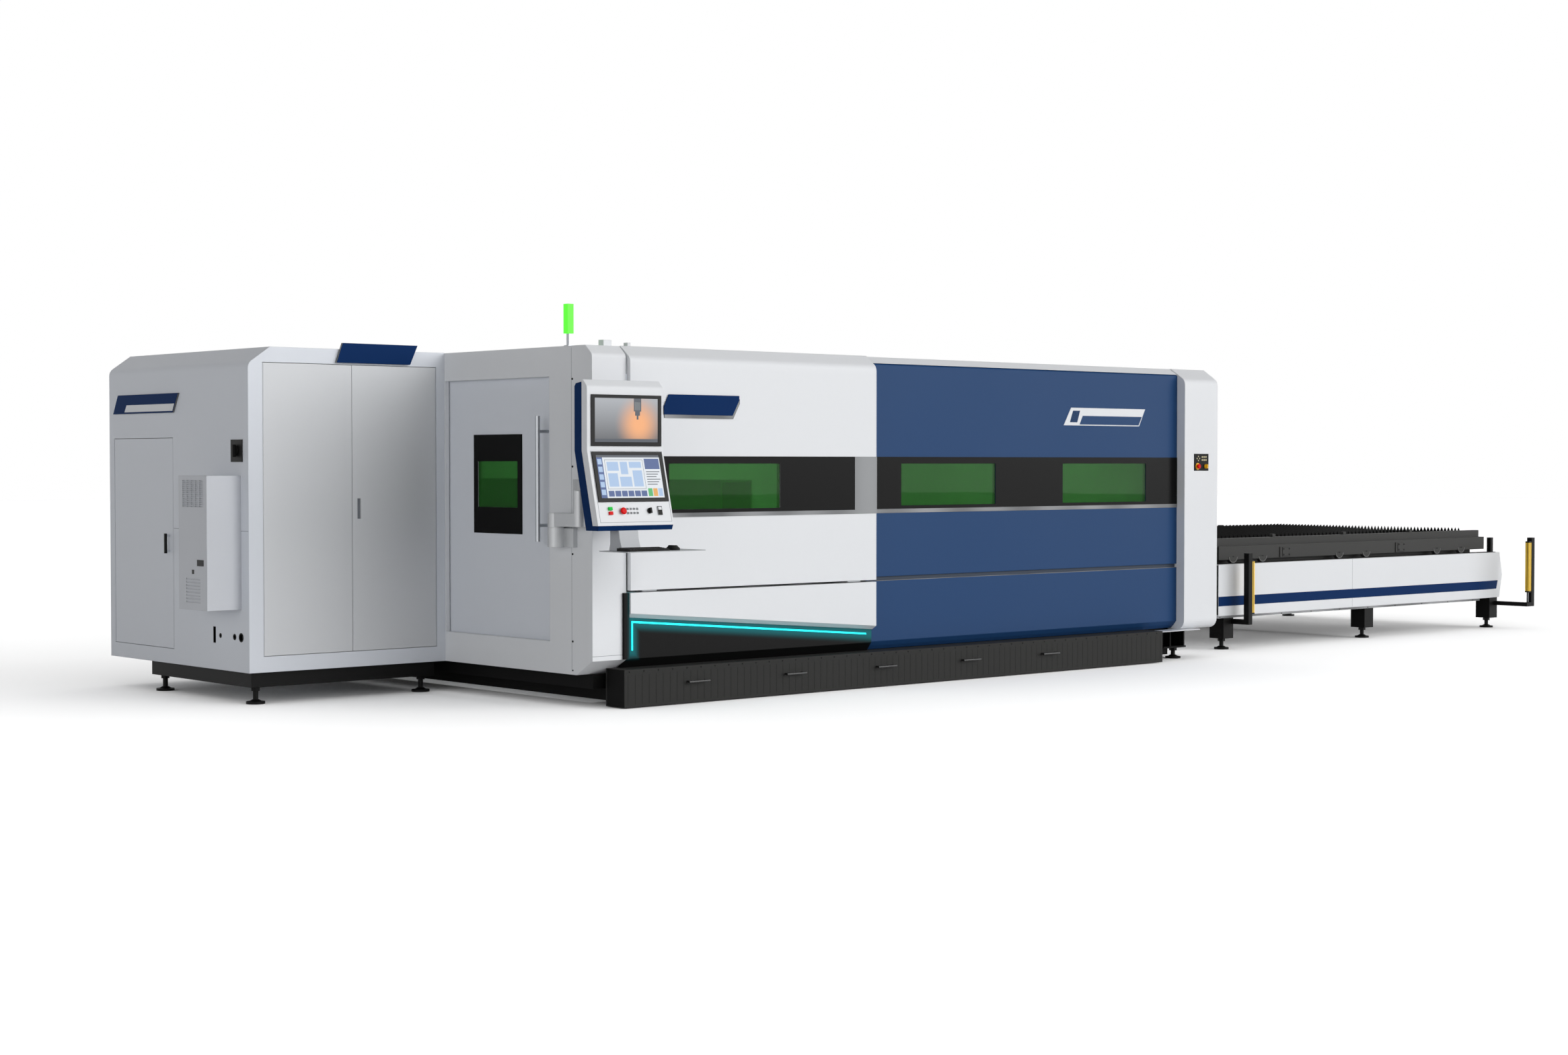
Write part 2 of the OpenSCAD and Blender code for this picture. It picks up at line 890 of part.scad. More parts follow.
// Door leaf of length l and height h along +X, round about its hinge at the origin
module leaf(l, h) {
    cylinder(d = leaf_t, h = h);
    translate([0, -leaf_t / 2, 0])
        cube([l, leaf_t, h]);
}

module left_cabinet_door() {
    hinge_x = cab_door_x0 + run + leaf_t / 2;
    place() color(white)
        translate([hinge_x, cab_y0 + leaf_t / 2, cab_door_z0 + 3])
            leaf(cab_mid - 1.5 - hinge_x, cab_door_z1 - cab_door_z0 - 6);
}

module right_cabinet_door() {
    hinge_x = cab_door_x1 - run - leaf_t / 2;
    place() color(white)
        difference() {
            translate([hinge_x, cab_y0 + leaf_t / 2, cab_door_z0 + 3])
                mirror([1, 0, 0])
                    leaf(hinge_x - cab_mid - 1.5, cab_door_z1 - cab_door_z0 - 6);
            span([cab_mid + 40, cab_y0 - 1, 1185], [cab_mid + 66, cab_y0 + 12, 1319]);
        }
}

module access_door() {
    hinge_y = access_y1 - run - leaf_t / 2;
    place() color(side_grey) {
        translate([-cab_w + leaf_t / 2, hinge_y, access_z0 + 3])
            rotate([0, 0, -90])
                leaf(hinge_y - access_y0 - 3, access_z1 - access_z0 - 6);
        for (z = [956, 1060])
            span([-cab_w - 26, access_y0 + 50, z], [-cab_w, access_y0 + 64, z + 14]);
        span([-cab_w - 36, access_y0 + 50, 949], [-cab_w - 22, access_y0 + 64, 1080]);
    }
}

// Cooling unit with a louvre field, a display, a small switch and a lower vent
module air_conditioner() {
    x0 = -cab_w - cooler_d;
    y0 = cab_y0 + 99;
    y1 = cab_y0 + 470;
    pitch = 176 / louvres;
    column = (y1 - y0 - 94) / 5;
    place() color(white)
        difference() {
            span([x0, y0, 612], [-cab_w, y1, 1473]);
            for (i = [0 : louvres - 1])
                for (j = [0 : 4])
                    span(
                        [x0 - 1, y0 + 49 + j * column, 1273 + i * pitch],
                        [x0 + 8, y0 + 43 + (j + 1) * column, 1273 + (i + 0.55) * pitch]
                    );
            span([x0 - 1, y0 + 41, 895], [x0 + 3, y0 + 133, 936]);
            span([x0 - 1, y0 + 169, 842], [x0 + 3, y0 + 200, 871]);
            for (i = [0 : 7])
                span([x0 - 1, y0 + 90, 660 + i * 21], [x0 + 5, y0 + 274, 669 + i * 21]);
        }
}

module power_switch_plate() {
    place() color(black)
        span([-cab_w - 6, cab_y0 + 70, 1560], [-cab_w, cab_y0 + 216, 1704]);
}

module power_switch_knob() {
    place() color(iron)
        translate([-cab_w - 6 - run, cab_y0 + 143, 1632])
            rotate([0, -90, 0]) {
                cylinder(d = 66, h = 10);
                translate([-40, -11, 8])
                    cube([80, 22, 24]);
            }
}

// Laser source: a rack of modules on the cabinet's floor
module laser_source() {
    place() color(iron) {
        span([-cab_w + 240, cab_y0 + 400, skirt_z + cab_t], [-300, cab_y1 - 337, cab_z - 1000]);
        for (i = [0 : 4])
            span([-cab_w + 280, cab_y0 + 385, 330 + i * 190], [-340, cab_y0 + 400, 490 + i * 190]);
    }
}

// Table frame: legs, long beams, cross tubes, rails and stop posts
module table_frame() {
    x1 = pallet_x1 + 150;
    y1 = pallet_y + 98;
    place() color(black) {
        both_sides() {
            for (x = leg_x)
                span([x - leg_w / 2, pallet_y - 48, leg_z0], [x + leg_w / 2, y1, rail_top - 76]);
            span([table_x0 + 20, pallet_y - 20, 480], [x1, y1 - 20, rail_top - 76]);
            span([table_x0 - 40, beam_y1, rail_top - 76], [x1, beam_y1 + 75, rail_top]);
            span([pallet_x1 + 100, pallet_y - 12, rail_top], [pallet_x1 + 140, pallet_y + 30, 850]);
        }
        for (x = leg_x)
            span([x - 40, y1, 300], [x + 40, 2 * mid_line - y1, 420]);
    }
}

// White side panels, curved in at the right end and cut to a point
module table_panels() {
    flat_x1 = table_x1 - 455;
    radius = 2300;
    tip = 70;
    z_mid = (table_z0 + table_z1) / 2;
    place() color(white)
        both_sides() {
            span([table_x0, table_y, table_z0], [flat_x1, table_y + 6, table_z1]);
            span([table_x0, table_y + 6, table_z1 - 6], [flat_x1, beam_y1, table_z1]);
            span([table_x0, table_y + 6, table_z0], [flat_x1, pallet_y - 48, table_z0 + 6]);
            span([table_x0, table_y + 2, table_z0 - 19], [flat_x1, table_y + 24, table_z0]);
            difference() {
                translate([flat_x1, table_y + radius, table_z0])
                    rotate([0, 0, -90])
                        rotate_extrude(angle = 14, $fn = 96)
                            translate([radius - 6, 0])
                                square([6, table_z1 - table_z0]);
                along_y(table_y - 100, table_y + 400)
                    polygon([
                        [table_x1 - tip, table_z0 - 1], [table_x1, z_mid], [table_x1 - tip, table_z1 + 1],
                        [table_x1 + 500, table_z1 + 1], [table_x1 + 500, table_z0 - 1]
                    ]);
            }
        }
}

// Pallet frame: channel side beams that hold the wheels, ledges for the slats and cross beams
module pallet_frame() {
    z0 = 745;
    z1 = 860;
    ledge_z = 922;
    y1 = pallet_y + 108;
    clamp_x = [825, 1123];
    clamp_pitch = (pallet_l - clamp_x[0] - clamp_x[1]) / 2;
    place() color(iron) {
        both_sides() {
            span([pallet_x0, pallet_y, z0], [pallet_x1, pallet_y + 10, z1]);
            span([pallet_x0, pallet_y + 80, z0], [pallet_x1, pallet_y + 90, z1 - 10]);
            span([pallet_x0, pallet_y + 10, z1 - 10], [pallet_x1, pallet_y + 90, z1]);
            span([pallet_x0, pallet_y + 50, z1], [pallet_x1 - 12, y1, ledge_z]);
            span([pallet_x0, pallet_y + 90, 700], [pallet_x1 - 94, y1, z1]);
            // Sheet clamps on the ledge, then bolted plates with a stop bar on the web
            for (i = [0 : 2])
                translate([pallet_x0 + clamp_x[0] + i * clamp_pitch, pallet_y + 70, ledge_z])
                    cube([40, 34, 24]);
            for (x = [pallet_x0 + 829, pallet_x1 - 1452]) {
                span([x, pallet_y - 8, z0 + 6], [x + 18, pallet_y, z1 - 22]);
                span([x + 40, pallet_y - 4, z0 + 10], [x + 150, pallet_y, z1 - 26]);
            }
        }
        for (x = [pallet_x0, (pallet_x0 + pallet_x1) / 2 - 80, pallet_x1 - 174])
            span([x, y1, 700], [x + 80, 2 * mid_line - y1, 784]);
    }
}

// Toothed slats across the pallet, standing on three bars
module pallet_slats() {
    y0 = pallet_y + 108;
    y1 = 2 * mid_line - y0;
    z0 = 798;
    root = 905;
    peak = 948;
    count = floor((pallet_l - 272) / slat_pitch);
    teeth = floor((y1 - y0) / tooth_pitch);
    edge = (y1 - y0 - teeth * tooth_pitch) / 2;
    outline = concat(
        [[y0, z0], [y1, z0], [y1, root]],
        [for (i = [0 : teeth - 1])
            each [
                [y1 - edge - i * tooth_pitch, root],
                [y1 - edge - (i + 0.5) * tooth_pitch, peak]
            ]],
        [[y0 + edge, root], [y0, root]]
    );
    place() color(black) {
        for (i = [0 : count])
            translate([pallet_x0 + 90 + i * slat_pitch, 0, 0])
                along_x(-slat_t / 2, slat_t / 2)
                    polygon(outline);
        for (y = [y0 + 60, mid_line, y1 - 60])
            span([pallet_x0 + 70, y - 15, z0 - 14], [pallet_x0 + 110 + count * slat_pitch, y + 15, z0]);
    }
}

module pallet_wheels() {
    offsets = [190, 594, 1696, 2101, pallet_l - 784, pallet_l - 383];
    place() color(steel)
        both_sides()
            for (x = offsets)
                translate([pallet_x0 + x, pallet_y + 10, wheel_z])
                    rotate([-90, 0, 0]) {
                        translate([0, 0, 5])
                            cylinder(r = wheel_r, h = 24);
                        cylinder(r = 12, h = 70);
                    }
}

module light_curtain_posts() {
    x = leg_x[0] + 33;
    xr = leg_x[2] + 15;
    leg_y = pallet_y - 48;
    place() color(black) {
        span([x, pallet_y - 230, 213], [x + 50, leg_y, 253]);
        span([x, pallet_y - 230, 213], [x + 50, pallet_y - 180, 806]);
        span([xr, pallet_y - 395, 213], [xr + 50, leg_y, 250]);
        span([xr, pallet_y - 395, 213], [xr + 125, pallet_y - 345, 250]);
        span([xr + 75, pallet_y - 395, 213], [xr + 125, pallet_y - 345, 856]);
    }
}

module light_curtains() {
    x = leg_x[0] + 83;
    xr = leg_x[2] + 90;
    place() color(yellow) {
        span([x, pallet_y - 225, 300], [x + 36, pallet_y - 185, 750]);
        span([xr - 40, pallet_y - 392, 344], [xr, pallet_y - 352, 821]);
    }
}

// Cutting axes: a beam across the bed, its carriage and the head
axis_x = 1180;
axis_w = 280;
axis_z0 = 1160;
axis_z1 = 1440;

module gantry_beam() {
    end = 150;
    place() color(steel) {
        difference() {
            span([axis_x, end, axis_z0], [axis_x + axis_w, 2 * mid_line - end, axis_z1]);
            span(
                [axis_x + 16, end - 1, axis_z0 + 16],
                [axis_x + axis_w - 16, 2 * mid_line - end + 1, axis_z1 - 16]
            );
        }
        both_sides()
            span(
                [axis_x - 120, rail_y - 60, beam_z1 + rail_h + run],
                [axis_x + axis_w + 120, rail_y + 60, axis_z0]
            );
        for (z = [axis_z0 + 40, axis_z1 - 70])
            span([axis_x + axis_w, 400, z], [axis_x + axis_w + 20, 2 * mid_line - 400, z + 30]);
    }
}

module carriage() {
    x = axis_x + axis_w + 20 + run;
    place() color(iron) {
        span([x, mid_line - 180, axis_z0 + 25], [x + 80, mid_line + 180, axis_z1 + 40]);
        span([axis_x + 80, mid_line - 120, axis_z1 + run], [x, mid_line + 120, axis_z1 + 40]);
    }
}

module cutting_head() {
    x = axis_x + axis_w + 100 + 2 * run;
    place() color(steel) {
        span([x, mid_line - 70, axis_z0 - 10], [x + 130, mid_line + 70, axis_z1 + 200]);
        translate([x + 65, mid_line, axis_z0 - 50])
            cylinder(d = 70, h = 40);
        translate([x + 65, mid_line, 1090])
            cylinder(d1 = 14, d2 = 46, h = axis_z0 - 50 - 1090);
        translate([x + 65, mid_line, axis_z1 + 200])
            cylinder(d = 60, h = 120);
    }
}

bed_frame();
levelling_feet();
end_panel();
roof_panel();
rear_panel();
lower_front_panel();
light_panel();
light_strip();
fixed_front_panel();
fixed_panel_glass();
fixed_panel_windows();
fixed_panel_trim();
plinth_cover();
plinth_handles();
portal_frame();
column_plate();
column_stop_button();
column_switch();
front_door();
front_door_glass();
front_door_window();
front_door_trim();
end_door();
end_door_glass();
end_door_window();
end_door_handle();
signal_mast();
signal_lamp();
arm_bracket();
swing_arm();
console_front();
console_rear();
upper_monitor();
touch_screen();
start_button();
stop_button();
console_stop_button();
mode_knob();
keyboard_tray();
keyboard();
mouse();
cabinet_shell();
cabinet_base();
left_cabinet_door();
right_cabinet_door();
access_door();
air_conditioner();
power_switch_plate();
power_switch_knob();
laser_source();
table_frame();
table_panels();
pallet_frame();
pallet_slats();
pallet_wheels();
light_curtain_posts();
light_curtains();
gantry_beam();
carriage();
cutting_head();
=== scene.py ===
import math

import bmesh
import bpy
from mathutils import Matrix, Vector


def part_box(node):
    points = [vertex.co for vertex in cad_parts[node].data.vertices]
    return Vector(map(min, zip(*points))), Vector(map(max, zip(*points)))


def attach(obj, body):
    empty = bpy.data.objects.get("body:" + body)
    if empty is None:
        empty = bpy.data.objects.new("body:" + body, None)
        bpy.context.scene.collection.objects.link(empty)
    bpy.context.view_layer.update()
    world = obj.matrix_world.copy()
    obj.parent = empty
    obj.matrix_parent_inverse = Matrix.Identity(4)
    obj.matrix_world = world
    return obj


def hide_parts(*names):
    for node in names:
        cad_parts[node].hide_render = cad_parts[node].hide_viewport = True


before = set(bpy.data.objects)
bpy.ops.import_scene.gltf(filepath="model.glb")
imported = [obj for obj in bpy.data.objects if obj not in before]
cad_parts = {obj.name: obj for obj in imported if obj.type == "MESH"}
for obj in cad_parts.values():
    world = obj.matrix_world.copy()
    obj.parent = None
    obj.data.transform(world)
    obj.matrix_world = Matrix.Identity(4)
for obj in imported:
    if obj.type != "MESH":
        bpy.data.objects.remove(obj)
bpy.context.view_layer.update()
corner = Vector(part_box("end_panel")[0])  # left front corner of the end wall: x 0, y 0 of the sizes below
corner.z = 0.0
print("frame loaded:", len(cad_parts), "pieces")


def spot(x, y, z):
    return corner + Vector((x, y, z)) / 1000.0  # sizes are written in millimetres


# finishes
def hexLinear(text, alpha=1.0):
    parts = [int(text[i:i + 2], 16) / 255.0 for i in (1, 3, 5)]
    return [c / 12.92 if c <= 0.04045 else ((c + 0.055) / 1.055) ** 2.4 for c in parts] + [alpha]


def addNode(tree, kind, settings=None, links=None):
    node = tree.nodes.new(kind)
    for key, value in (settings or {}).items():
        if isinstance(key, str) and hasattr(node, key):
            setattr(node, key, value)
        else:
            node.inputs[key].default_value = value
    for key, socket in (links or {}).items():
        tree.links.new(socket, node.inputs[key])
    return node


def newMaterial(name):
    material = bpy.data.materials.new(name)
    material.use_nodes = True
    material.node_tree.nodes.clear()
    return material, material.node_tree


def scaleOf(size):
    return 1000.0 / size  # texture scale of a pattern whose size is in millimetres


def mixColours(tree, share, first, second):
    tone = addNode(tree, "ShaderNodeMix", {"data_type": "RGBA"}, {"Factor": share})
    tone.inputs[6].default_value = hexLinear(first)
    tone.inputs[7].default_value = hexLinear(second)
    return tone.outputs[2]


def solve(tree, operation, first, second=None):
    # one step of a shader's arithmetic: each side is a number or a socket
    node = addNode(tree, "ShaderNodeMath", {"operation": operation})
    for i, value in enumerate((first, second)):
        if isinstance(value, (int, float)):
            node.inputs[i].default_value = value
        elif value is not None:
            tree.links.new(value, node.inputs[i])
    return node.outputs[0]


def coatedSteel(name, colour, rough, peel=3.0, lift=0.02, shine=0.3, metal=0.0, behind=None):
    # powder coat baked on sheet steel: even colour, soft gloss and a faint orange peel
    # the peel is about 1 mm on the real sheet and is drawn coarser so that it shows
    material, tree = newMaterial(name)
    coords = addNode(tree, "ShaderNodeTexCoord")
    grain = addNode(tree, "ShaderNodeTexNoise", {"Scale": scaleOf(peel * 6.0), "Detail": 3.0},
                    {"Vector": coords.outputs["Object"]})
    cloud = addNode(tree, "ShaderNodeTexNoise", {"Scale": scaleOf(900.0), "Detail": 2.0},
                    {"Vector": coords.outputs["Object"]})
    gloss = addNode(tree, "ShaderNodeMapRange", {"To Min": rough - 0.04, "To Max": rough + 0.05},
                    {"Value": cloud.outputs["Fac"]})
    edge = addNode(tree, "ShaderNodeBevel", {"samples": 4, "Radius": 0.005})  # paint softens every fold
    bump = addNode(tree, "ShaderNodeBump", {"Strength": lift, "Distance": 0.002},
                   {"Height": grain.outputs["Fac"], "Normal": edge.outputs["Normal"]})
    base = addNode(tree, "ShaderNodeBsdfPrincipled",
                   {"Base Color": hexLinear(colour), "Specular IOR Level": shine, "Metallic": metal},
                   {"Roughness": gloss.outputs["Result"], "Normal": bump.outputs["Normal"]})
    if behind:  # another paint behind a plane that leans back: colour, a point on it, its slope
        other, point, slope = behind
        parts = addNode(tree, "ShaderNodeSeparateXYZ", {}, {"Vector": coords.outputs["Object"]})
        lean = solve(tree, "MULTIPLY", parts.outputs["Z"], slope)
        plane = solve(tree, "ADD", lean, point.y - slope * point.z)
        past = solve(tree, "GREATER_THAN", parts.outputs["Y"], plane)
        tree.links.new(mixColours(tree, past, colour, other), base.inputs["Base Color"])
    addNode(tree, "ShaderNodeOutputMaterial", {}, {"Surface": base.outputs["BSDF"]})
    return material


def brushedMetal(name, colour, rough, along):
    # drawn or brushed steel: grey metal with fine streaks along the piece
    # a streak is about 0.5 mm on the real one and is drawn at 6 mm so that it shows
    material, tree = newMaterial(name)
    coords = addNode(tree, "ShaderNodeTexCoord")
    stretch = addNode(tree, "ShaderNodeMapping", {"Scale": along}, {"Vector": coords.outputs["Object"]})
    streak = addNode(tree, "ShaderNodeTexNoise", {"Scale": scaleOf(6.0), "Detail": 2.0},
                     {"Vector": stretch.outputs["Vector"]})
    gloss = addNode(tree, "ShaderNodeMapRange", {"To Min": rough - 0.08, "To Max": rough + 0.1},
                    {"Value": streak.outputs["Fac"]})
    base = addNode(tree, "ShaderNodeBsdfPrincipled", {"Base Color": hexLinear(colour), "Metallic": 1.0},
                   {"Roughness": gloss.outputs["Result"]})
    addNode(tree, "ShaderNodeOutputMaterial", {}, {"Surface": base.outputs["BSDF"]})
    return material


def satinTrim(name, dark, light, rough, wave):
    # satin anodised strip with painted reflection: soft dark and bright bands along its length stand in for
    # the studio mirrored in the metal
    material, tree = newMaterial(name)
    coords = addNode(tree, "ShaderNodeTexCoord")
    along = addNode(tree, "ShaderNodeMapping", {"Scale": (1.0, 0.3, 0.0)},
                    {"Vector": coords.outputs["Object"]})
    band = addNode(tree, "ShaderNodeTexNoise", {"Scale": scaleOf(wave), "Detail": 0.0},
                   {"Vector": along.outputs["Vector"]})
    share = addNode(tree, "ShaderNodeMapRange", {"From Min": 0.35, "From Max": 0.65},
                    {"Value": band.outputs["Fac"]})
    base = addNode(tree, "ShaderNodeBsdfPrincipled", {"Metallic": 0.15, "Roughness": rough},
                   {"Base Color": mixColours(tree, share.outputs["Result"], dark, light)})
    addNode(tree, "ShaderNodeOutputMaterial", {}, {"Surface": base.outputs["BSDF"]})
    return material


def plainPlastic(name, colour, rough, shine=0.3, glow=0.0):
    # moulded plastic: solid colour with a slightly uneven gloss; glow is for lit pieces
    material, tree = newMaterial(name)
    coords = addNode(tree, "ShaderNodeTexCoord")
    cloud = addNode(tree, "ShaderNodeTexNoise", {"Scale": scaleOf(40.0)},
                    {"Vector": coords.outputs["Object"]})
    gloss = addNode(tree, "ShaderNodeMapRange", {"To Min": max(rough - 0.03, 0.02), "To Max": rough + 0.04},
                    {"Value": cloud.outputs["Fac"]})
    base = addNode(tree, "ShaderNodeBsdfPrincipled",
                   {"Base Color": hexLinear(colour), "Specular IOR Level": shine, "Emission Strength": glow,
                    "Emission Color": hexLinear(colour)}, {"Roughness": gloss.outputs["Result"]})
    addNode(tree, "ShaderNodeOutputMaterial", {}, {"Surface": base.outputs["BSDF"]})
    return material


def laserGlass(name, colour, deep):
    # dyed acrylic laser guard: deep green, glossy, and the lit inside shows through it
    material, tree = newMaterial(name)
    coords = addNode(tree, "ShaderNodeTexCoord")
    cloud = addNode(tree, "ShaderNodeTexNoise", {"Scale": scaleOf(700.0)},
                    {"Vector": coords.outputs["Object"]})
    base = addNode(tree, "ShaderNodeBsdfPrincipled",
                   {"Roughness": 0.0, "IOR": 1.1, "Transmission Weight": 0.8, "Coat Weight": 0.03},
                   {"Base Color": mixColours(tree, cloud.outputs["Fac"], colour, deep)})
    addNode(tree, "ShaderNodeOutputMaterial", {}, {"Surface": base.outputs["BSDF"]})
    return material


def litPanel(name, colour, light, line):
    # black sheet beside a light strip: the strip's light on it is painted as a cyan glow that fades within 75
    # mm
    material, tree = newMaterial(name)
    coords = addNode(tree, "ShaderNodeTexCoord")
    parts = addNode(tree, "ShaderNodeSeparateXYZ", {}, {"Vector": coords.outputs["Object"]})
    x, z = parts.outputs["X"], parts.outputs["Z"]
    bend, end, foot = line
    slope = (end.z - bend.z) / (end.x - bend.x)
    fall = solve(tree, "ADD", solve(tree, "MULTIPLY", x, -slope), slope * bend.x - bend.z)
    level = solve(tree, "ABSOLUTE", solve(tree, "ADD", z, fall))
    before = solve(tree, "SUBTRACT", bend.x, x)
    slant = solve(tree, "MAXIMUM", level, before)
    upright = solve(tree, "MAXIMUM", solve(tree, "ABSOLUTE", before), solve(tree, "SUBTRACT", foot.z, z))
    fade = addNode(tree, "ShaderNodeMapRange", {"interpolation_type": "SMOOTHERSTEP", "From Min": 0.0,
                                                "From Max": 0.075, "To Min": 0.16, "To Max": 0.0},
                   {"Value": solve(tree, "MINIMUM", slant, upright)})
    base = addNode(tree, "ShaderNodeBsdfPrincipled",
                   {"Base Color": hexLinear(colour), "Roughness": 0.42, "Specular IOR Level": 0.08,
                    "Emission Color": hexLinear(light)}, {"Emission Strength": fade.outputs["Result"]})
    addNode(tree, "ShaderNodeOutputMaterial", {}, {"Surface": base.outputs["BSDF"]})
    return material


def litPicture(name, centre, reach):
    # screen with a plain lit picture: pale grey above, dark below and a warm glow round one point
    material, tree = newMaterial(name)
    coords = addNode(tree, "ShaderNodeTexCoord")
    parts = addNode(tree, "ShaderNodeSeparateXYZ", {}, {"Vector": coords.outputs["Object"]})
    rise = addNode(tree, "ShaderNodeMapRange", {"From Min": centre.z - 0.14, "From Max": centre.z + 0.14},
                   {"Value": parts.outputs["Z"]})
    field = mixColours(tree, rise.outputs["Result"], "#3a3d42", "#a9adb3")
    gap = addNode(tree, "ShaderNodeVectorMath", {"operation": "DISTANCE", 1: centre},
                  {0: coords.outputs["Object"]})
    halo = addNode(tree, "ShaderNodeMapRange", {"interpolation_type": "SMOOTHSTEP", "From Min": 0.02,
                                                "From Max": reach, "To Min": 1.0, "To Max": 0.0},
                   {"Value": gap.outputs["Value"]})
    glow = addNode(tree, "ShaderNodeMix", {"data_type": "RGBA"},
                   {"Factor": halo.outputs["Result"], 6: field})
    glow.inputs[7].default_value = hexLinear("#ffb070")
    base = addNode(tree, "ShaderNodeBsdfPrincipled",
                   {"Base Color": hexLinear("#050505"), "Roughness": 0.15, "Specular IOR Level": 0.3,
                    "Emission Strength": 0.85}, {"Emission Color": glow.outputs[2]})
    addNode(tree, "ShaderNodeOutputMaterial", {}, {"Surface": base.outputs["BSDF"]})
    return material


def litTile(name, colour):
    # one lit field of a screen: almost black glass that shines in its colour
    material, tree = newMaterial(name)
    base = addNode(tree, "ShaderNodeBsdfPrincipled",
                   {"Base Color": hexLinear("#050505"), "Roughness": 0.15, "Specular IOR Level": 0.3,
                    "Emission Color": hexLinear(colour), "Emission Strength": 0.85})
    addNode(tree, "ShaderNodeOutputMaterial", {}, {"Surface": base.outputs["BSDF"]})
    return material


knuckle = {"point": spot(0, -311, 1140), "slope": 116 / 489}  # rear face of the console's housing
ledLine = (spot(323, 10, 540), spot(2386, 10, 367), spot(323, 10, 357))  # corner, right end, lower end
looks = {
    "whiteCoat": coatedSteel("whitePowderCoat", "#e6e8eb", 0.42),
    # the white paint made a little darker and bluer: painted bluish shade
    "bluishShadedCoat": coatedSteel("whitePowderCoatPaintedBluishShade", "#dfe3ea", 0.45),
    "doorCoat": coatedSteel("satinGreyDoorCoat", "#d3d5d8", 0.36, shine=0.5),
    "blueCoat": coatedSteel("bluePowderCoat", "#1f426e", 0.42, shine=0.12),
    "navyCoat": coatedSteel("navyPowderCoat", "#0c2d5c", 0.45, shine=0.03),
    "consoleNavy": coatedSteel("navyCoatWithSilverKnuckle", "#0c2d5c", 0.45, shine=0.03,
                               behind=("#c8cacc", knuckle["point"], knuckle["slope"])),
    # white paint darkened to grey on the cooling unit: painted shade
    "shadedCoolerCoat": coatedSteel("coolerCoatPaintedShade", "#d0d3d9", 0.45),
    "handleBlack": plainPlastic("blackHandleMoulding", "#161616", 0.28, shine=0.6),
    "blackCoat": coatedSteel("blackPowderCoat", "#101010", 0.45, shine=0.1),
    # black panel with the LED strip's light painted on it as a glow
    "glowPaintedBlack": litPanel("blackPanelWithPaintedGlow", "#0e0e0e", "#10e4f0", ledLine),
    "darkSteel": coatedSteel("darkGreyPrimedSteel", "#2e2e2d", 0.55, peel=6.0, lift=0.05, shine=0.1),
    "bedSteel": coatedSteel("blackPrimedBedSteel", "#0c0c0c", 0.6, peel=6.0, lift=0.05, shine=0.08),
    "slatSteel": coatedSteel("scorchedSlatSteel", "#0d0d0d", 0.6, peel=8.0, lift=0.08, shine=0.08),
    "tableSteel": coatedSteel("greyPrimedBeam", "#3f3f3e", 0.5, peel=5.0, lift=0.04, shine=0.1),
    "clampSteel": coatedSteel("paleClampSteel", "#626261", 0.45),
    "brightSteel": brushedMetal("brushedStainless", "#a9acb0", 0.36, (0.05, 1.0, 1.0)),
    "wheelSteel": coatedSteel("dullWheelSteel", "#3a3a3a", 0.5, shine=0.15),
    # trim colour with bands of painted reflection along its length
    "silverTrim": satinTrim("satinTrimPaintedReflection", "#515355", "#87898b", 0.45, 500.0),
    "armCoat": coatedSteel("silverGreyArmPaint", "#c8cacc", 0.34, shine=0.6, metal=0.3),
    "trayCoat": coatedSteel("satinGreyTrayPaint", "#b9bcc0", 0.4),
    "guardGlass": laserGlass("greenLaserGuardAcrylic", "#438a3e", "#3a7836"),
    "bandGlass": plainPlastic("blackBackedAcrylic", "#0d0d0d", 0.25, shine=0.06),
    "lampGreen": plainPlastic("litGreenLampCover", "#4dff28", 0.3, glow=1.0),
    "ledCyan": plainPlastic("litCyanDiffuser", "#10f4ff", 0.3, glow=1.2),
    "curtainYellow": coatedSteel("yellowAnodisedHousing", "#ffd147", 0.35),
    "switchYellow": plainPlastic("yellowSwitchPlate", "#f0b81c", 0.4),
    "buttonRed": plainPlastic("redButtonCap", "#e00a0e", 0.35, shine=0.1),
    "buttonGreen": plainPlastic("greenButtonCap", "#0ccb3c", 0.35, shine=0.1),
    "keyGrey": plainPlastic("greyKeyCap", "#74787c", 0.4),
    "keyBeige": plainPlastic("beigeKeyCap", "#cfc39a", 0.4),
    "blackPlastic": plainPlastic("blackMouldedAbs", "#0e0e0e", 0.45, shine=0.15),
    "bezelBlack": plainPlastic("blackScreenBezel", "#151515", 0.35, shine=0.15),
    "seamGrey": plainPlastic("shadowedSheetJoint", "#7d8187", 0.6, shine=0.1),
    "slateGrey": plainPlastic("darkTrackLiner", "#3f4856", 0.5, shine=0.15),
    "outlineGrey": plainPlastic("greyPanelOutline", "#9a9ea4", 0.5),
    "cuttingView": litPicture("litCuttingView", spot(110, -335, 1795), 0.2),
    "tilePale": litTile("litPaleField", "#e7edf3"),
    "tileBlue": litTile("litBlueField", "#2c4f8f"),
    "tileSky": litTile("litSkyField", "#a9c6ea"),
    "tileGreen": litTile("litGreenField", "#35b45c"),
    "tileAmber": litTile("litAmberField", "#e9a53a"),
    "tileInk": litTile("litInkLine", "#39424f"),
}

